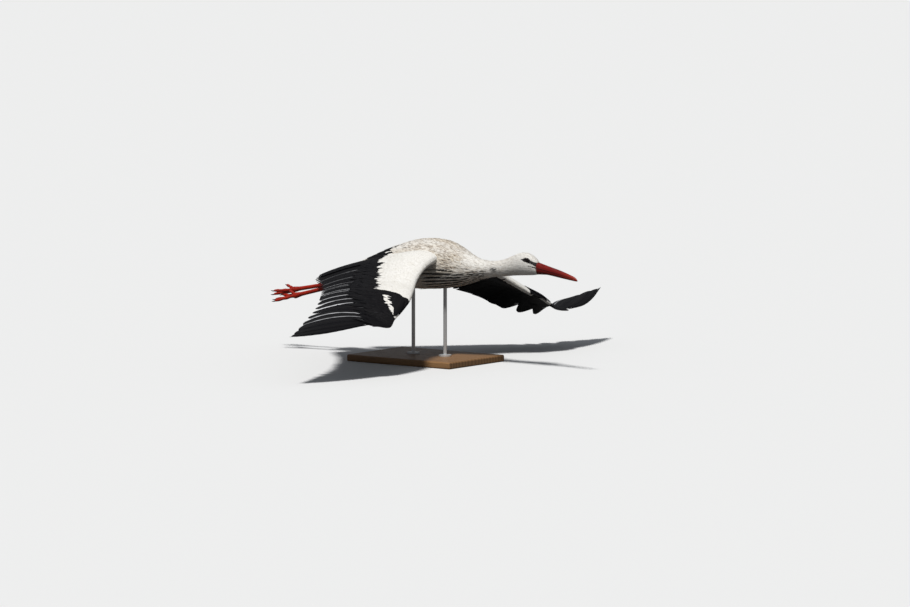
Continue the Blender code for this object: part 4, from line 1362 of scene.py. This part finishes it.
def make_wing_plumage(side):
    first = np.concatenate([np.linspace(-0.7, 5.8, 60), np.linspace(5.9, WING_TIP, 80)])
    run = np.linspace(-1, 1, 101)
    form = make_form(f"wing_form_{side}", lambda u, v: wing_point(side, u, v), first,
                     1.12 * np.sign(run) * np.abs(run) ** 1.7, SIDES[side])

    small = Tract(), Tract()
    shares = (-0.030, -0.013, -0.004, 0.001, 0.006, 0.015, *np.arange(0.028, 0.285, 0.018))
    for row, share in enumerate(shares):
        lay_on_wing(small, side, share, spread=0.0092, length=0.018 + 0.022 * row / 18, width=0.0125,
                    rise=(-0.0012, 0.0002, 0.0005 if row > 4 else 0.0001), shift=0.25 * (row % 2))
    for row, share in enumerate((0.280, 0.300, 0.322, 0.346)):
        lay_on_wing(small, side, share, spread=0.0125, length=0.046 + 0.003 * row, width=0.0180,
                    rise=(-0.0010, 0.0004 + 0.0002 * row, 0.0006), lift=0.0015, shift=0.3 * (row % 2),
                    vary=0.20, stray=0.004)
    small[0].lay(f"wing_coverts_white_{side}", form, ROUND, 0.0003)
    small[1].lay(f"wing_coverts_black_{side}", form, ROUND, 0.0003, "black")

    greater = Tract(), Tract()
    lay_on_wing(greater, side, 0.375, spread=0.0165, length=0.112, width=0.0310,
                rise=(-0.0030, 0.0016, 0.0010), tilt=0.0007, silver=0.6)
    lay_on_wing(greater, side, 0.350, spread=0.0165, length=0.080, width=0.0270,
                rise=(-0.0028, 0.0022, 0.0010), tilt=0.0006, shift=0.4)
    greater[1].lay(f"wing_greater_coverts_{side}", form, LONG, 0.0004, "black")

    # Below, the black of the lining beyond the white strip is painted shade; the small under coverts are
    # white in life.
    lining = Tract(), Tract()
    shares = (0.000, 0.005, 0.012, 0.023, 0.038, 0.056, 0.080, 0.110, 0.135, 0.165, 0.20, 0.24, 0.28, 0.32)
    for row, share in enumerate(shares):
        lay_on_wing(lining, side, share, spread=0.0120, length=0.019 if row < 6 else 0.032 + 0.003 * row,
                    width=0.0160, rise=(-0.0012, 0.0004, 0.0006), below=True, shift=0.3 * (row % 2))
    lining[0].lay(f"wing_lining_white_{side}", form, ROUND, 0.0003)
    lining[1].lay(f"wing_lining_black_{side}", form, ROUND, 0.0003, "black")

    under = Tract(), Tract()
    lay_on_wing(under, side, 0.35, spread=0.0175, length=0.100, width=0.0310, rise=(-0.0014, 0.0012, 0.0010),
                below=True, tilt=0.0006)
    under[1].lay(f"wing_lining_long_{side}", form, LONG, 0.0004, "black")
    bpy.data.objects.remove(form)


# ---------------------------------------------------------------- quill feathers
class Quills:
    """Long feathers as thin closed vanes round a shaft, each drawn on its own curved surface."""

    ACROSS = np.array([-1, -0.86, -0.65, -0.4, -0.15, -0.035, 0, 0.035, 0.15, 0.35, 0.6, 0.82, 1])

    def __init__(self, count):
        self.points, self.faces, self.local, self.tone, self.bake = [], [], [], [], []
        self.count, self.feathers, self.made = 0, count, 0

    def add(self, surface, tilt=0.0006, crown=0.0006, rows=54, tears=3, level=0.0, silver=0.0, black=1.0,
            shaft=-0.28, overlap=1.6):
        """surface(t, c) gives points and the way up along a feather, and across its share of the fan.

        c is -1 at the outer edge, and passes 1 where the inner vane runs under the next feather."""
        t = np.linspace(0, 1, rows)[:, None] ** 0.92
        x = self.ACROSS + 0 * t
        drawn = x.copy()
        for _ in range(tears):
            middle, size = RANDOM.uniform(0.30, 0.93), RANDOM.uniform(0.10, 0.32)
            notch = bump(middle, RANDOM.uniform(0.006, 0.012), t) * size
            drawn *= np.where((x < 0) == (RANDOM.random() < 0.5), 1 - notch * np.abs(x) ** 3, 1.0)
        across = shaft + np.where(drawn < 0, (1 + shaft) * drawn, (overlap - shaft) * drawn)
        middle, up = surface(t + 0 * x, across)
        ridge = 0.0006 * np.clip(1 - np.abs(x) / 0.036, 0, 1) * (1 - 0.8 * t)
        thick = 0.00010 + 0.00017 * (1 - x**2)
        wave = 0.00016 * np.sin(t * RANDOM.uniform(60, 90) + x * 3) * np.abs(x)
        height = level - tilt * across + crown * (1 - x**2) + wave
        top = middle + up * (height + thick + ridge)[..., None]
        low = middle + up * (height - thick - 0.6 * ridge)[..., None]
        columns, size = x.shape[1], x.size
        self.points.append(np.concatenate([top.reshape(-1, 3), low.reshape(-1, 3)]))
        start = self.count
        self.faces += grid_faces(rows, columns, start=start)
        self.faces += [face[::-1] for face in grid_faces(rows, columns, start=start + size)]
        numbers = start + np.arange(size).reshape(rows, columns)
        rim = [*numbers[0], *numbers[1:, -1], *numbers[-1, -2::-1], *numbers[-2:0:-1, 0]]
        for first, second in zip(rim, rim[1:] + rim[:1]):
            self.faces.append((int(second), int(first), int(first + size), int(second + size)))
        self.count += 2 * size
        local = stack(x, t, 0.0).reshape(-1, 3)
        self.local += [local, local]
        self.tone.append(np.tile([black, silver, RANDOM.random()], (2 * size, 1)))
        place = np.array([(self.made + 0.5) / self.feathers, 0.03])
        patch = place + local[:, :2] * (0.40 / self.feathers, 0.94)
        self.bake += [patch, patch]
        self.made += 1

    def piece(self, name, coat, *replaced):
        mesh = mesh_of(name, np.concatenate(self.points), self.faces)
        put_vectors(mesh, "local", np.concatenate(self.local))
        put_vectors(mesh, "tone", np.concatenate(self.tone))
        corners = np.empty(len(mesh.loops), np.int32)
        mesh.loops.foreach_get("vertex_index", corners)
        layer = mesh.uv_layers.new(name="OFBake")
        layer.data.foreach_set("uv", np.concatenate(self.bake)[corners].astype(np.float32).ravel())
        face_outwards(mesh, merge=0.00002)
        mesh.shade_smooth()
        mesh.set_sharp_from_angle(angle=np.radians(60))
        finish_plumage(add_piece(name, mesh, COATS[coat]), coat, *replaced)


def opening(t):
    """How far a feather has opened to its full width, t along it from the root."""
    return 0.55 + 0.45 * smooth_step(0, 0.25, t)


def rounded(c):
    """The rounding of a feather's tip at c across it."""
    return np.minimum(np.abs(c), 1.15) ** 2.2


def secondary_surface(side, number):
    def surface(t, c):
        station = (number + 0.5 - 0.5 * c * opening(t)) * WRIST / SECONDARIES
        end = 1 - SECONDARY_NOTCH * rounded(c)
        return wing_middle(side, station, 0.41 + (end - 0.41) * t)[:2]

    return surface


def primary_surface(side, number):
    """Points of a primary, with the notches between their tips that the left wing shows."""
    def surface(t, c):
        share = np.clip((number + 0.5 - 0.5 * c * opening(t)) / PRIMARIES, -0.04, 1.0)
        root = WRIST + (HAND_END - WRIST) * share
        tip = WRIST + (WING_TIP - 0.02 - WRIST) * share
        first = hand_chord(root) * 0.75
        curve = t ** (1 + 5 * np.clip(share, 0, 1) ** 3)
        notch = PRIMARY_NOTCH[side] * smooth_step(*NOTCH_START[side], tip)
        notch = notch * (1 - 0.65 * smooth_step(10.2, 11.6, tip)) * (1 - smooth_step(13.4, 15, tip))
        chord = (first + (1 - first) * curve) * (1 - notch * rounded(c) * t**3)
        return wing_middle(side, root + (tip - root) * t, chord)[:2]

    return surface


def tertial_surface(side, number):
    def surface(t, c):
        c = c * opening(t) * np.sqrt(np.clip(1 - smooth_step(0.80, 1.0, t) ** 2, 0, 1))
        station = -0.10 + 0.24 * number + 0.10 * t - 0.34 * c
        return wing_middle(side, station, 0.40 + (0.60 - 0.006 * number) * t)[:2]

    return surface


def alula_surface(side, number):
    def surface(t, c):
        c = c * opening(t) * np.sqrt(np.clip(1 - smooth_step(0.70, 1.0, t) ** 2, 0, 1))
        start = WHITE_STATION + 0.10 + 0.09 * number
        chord = 0.125 - 0.030 * number - (0.040 - 0.010 * number) * t
        station = start + (0.95 + 0.25 * number) * t
        middle, up, half = wing_middle(side, station, chord + 0.022 * c)
        return middle + up * half[..., None], up

    return surface


# Quills with a silver outer edge, counted from the body, and how strong it is.
SILVER_SECONDARIES = {6: 0.35, 9: 0.45, 12: 0.55, 14: 0.60, 15: 0.40, 18: 0.95, 19: 0.75}
SILVER_PRIMARIES = {0: 0.60, 1: 0.80, 2: 1.0, 4: 0.85, 5: 0.55}


def make_secondaries(side):
    quills = Quills(SECONDARIES + TERTIALS)
    for number in range(SECONDARIES):
        silver = SILVER_SECONDARIES.get(number, 0.0)
        quills.add(secondary_surface(side, number), tilt=0.00034, crown=0.0003, rows=50, silver=silver,
                   overlap=1.9)
    for number in range(TERTIALS):
        quills.add(tertial_surface(side, number), tilt=0.0008, crown=0.0012, rows=44,
                   level=0.0060 - 0.0006 * number, shaft=-0.15, overlap=1.0)
    quills.piece(f"secondaries_and_tertials_{side}", "black", f"wing_secondaries_{side}")


def make_primaries(side):
    quills = Quills(PRIMARIES)
    for number in range(PRIMARIES):
        silver = SILVER_PRIMARIES.get(number, 0.0)
        quills.add(primary_surface(side, number), tilt=0.00055, crown=0.0005, rows=64, tears=4, silver=silver,
                   overlap=1.7)
    quills.piece(f"primaries_{side}", "black", f"wing_primaries_{side}")


def make_alula(side):
    quills = Quills(ALULA_QUILLS)
    for number in range(ALULA_QUILLS):
        quills.add(alula_surface(side, number), tilt=0.0004, crown=0.0008, rows=26, tears=1,
                   level=0.0010 + 0.0007 * number, overlap=1.0)
    quills.piece(f"alula_{side}", "black", f"wing_alula_{side}")


def tail_surface(number):
    place = (number + 0.5) / TAIL_QUILLS * 2 - 1
    way = 1 if place > 0 else -1

    def surface(t, c):
        across = np.clip(place - way * c * opening(t) / TAIL_QUILLS, -1.0, 1.0)
        tip = 1 - 0.05 * smooth_step(0.86, 1, t) * rounded(c)
        length = (TAIL[-1, 0] - TAIL[0, 0] - 0.03 + 0.012 * place**2) * tip
        along = TAIL[0, 0] + 0.03 + length * t
        here = tail_point(along, across, 0.30)
        over = np.cross(tail_point(along, across + 0.02, 0.3) - tail_point(along, across - 0.02, 0.3),
                        tail_point(along - 0.002, across, 0.3) - tail_point(along + 0.002, across, 0.3))
        up = unit(over) * np.sign(over[..., 2:])
        return here + up * 0.0014 * (1 - abs(place)), up

    return surface


def make_tail():
    quills = Quills(TAIL_QUILLS)
    for number in range(TAIL_QUILLS):
        quills.add(tail_surface(number), tilt=0.0004, crown=0.0004, rows=40, tears=2, silver=0.15, black=0.0,
                   shaft=-0.1, overlap=1.6)
    quills.piece("tail_feathers", "white", "tail")


# ---------------------------------------------------------------- stand
def finish_stand():
    for node, finish in (("stand_base", OAK), ("stand_rod_front", STEEL), ("stand_rod_rear", STEEL)):
        mesh = frame["nodes"][node].data
        mesh.materials.clear()
        mesh.materials.append(finish)


# ---------------------------------------------------------------- studio
FLOOR_SIZE = 400
FLOOR_SENT_BACK, FLOOR_SEEN = (0.12, 0.12, 0.12), (0.82, 0.835, 0.85)
AIR_COLOUR, AIR_STRENGTH = (0.90, 0.94, 1.0, 1), 0.18
SUN_COLOUR, SUN_STRENGTH, SUN_WIDTH, SUN_TOWARDS = (1.0, 0.975, 0.94), 3.25, 8.0, (-0.16, 0.54, -1.0)

# Camera: the way right and the way back to it, its distance, the width that the view takes in at the
# bird, and how far right of the shoulder and below it the middle of the view lies.
CAMERA_RIGHT, CAMERA_BACK = (0.7986, 0.6018, 0.0), (0.5985, -0.7943, 0.1045)
CAMERA_DISTANCE = 30.0
VIEW_WIDTH = 910 / 307
VIEW_SHIFT = (5 / 307, 45.5 / 307)


def make_studio():
    """A pale floor, soft light from above and a long lens from the bird's right front."""
    bpy.ops.mesh.primitive_plane_add(size=FLOOR_SIZE)
    floor = bpy.context.object
    floor.name = "studio_floor"
    n = Finish("pale_floor", Roughness=0.9, Specular_IOR_Level=0.1)
    seen = n.add("ShaderNodeLightPath").outputs["Is Camera Ray"]
    floor.data.materials.append(n.done(n.mix(seen, FLOOR_SENT_BACK, FLOOR_SEEN)))

    world = bpy.data.worlds.new("studio_air")
    bpy.context.scene.world = world
    world.use_nodes = True
    air = world.node_tree.nodes["Background"].inputs
    air["Color"].default_value = AIR_COLOUR
    air["Strength"].default_value = AIR_STRENGTH
    sun = bpy.data.lights.new("key_light", "SUN")
    sun.energy = SUN_STRENGTH
    sun.angle = np.radians(SUN_WIDTH)
    sun.color = SUN_COLOUR
    lamp = bpy.data.objects.new("key_light", sun)
    lamp.rotation_euler = Vector(SUN_TOWARDS).to_track_quat("-Z", "Y").to_euler()
    bpy.context.scene.collection.objects.link(lamp)

    right, back = Vector(CAMERA_RIGHT).normalized(), Vector(CAMERA_BACK).normalized()
    aim = Vector(SHOULDER) + right * VIEW_SHIFT[0] - back.cross(right) * VIEW_SHIFT[1]
    camera = bpy.data.cameras.new("long_lens")
    camera.sensor_width = 36.0
    camera.lens = camera.sensor_width * CAMERA_DISTANCE / VIEW_WIDTH
    camera.clip_end = 1000.0
    holder = bpy.data.objects.new("long_lens", camera)
    holder.location = aim + back * CAMERA_DISTANCE
    holder.rotation_euler = back.to_track_quat("Z", "Y").to_euler()
    bpy.context.scene.collection.objects.link(holder)
    bpy.context.scene.camera = holder
    bpy.context.scene.view_settings.view_transform = "Standard"


# ---------------------------------------------------------------- assembly
make_studio()
make_skin()
make_claws()
bill_half("upper")
bill_half("lower")
make_body_plumage()
for wing_side in SIDES:
    make_eye(wing_side)
    make_thigh_plumage(wing_side)
    make_wing_plumage(wing_side)
    make_secondaries(wing_side)
    make_primaries(wing_side)
    make_alula(wing_side)
make_tail()
finish_stand()
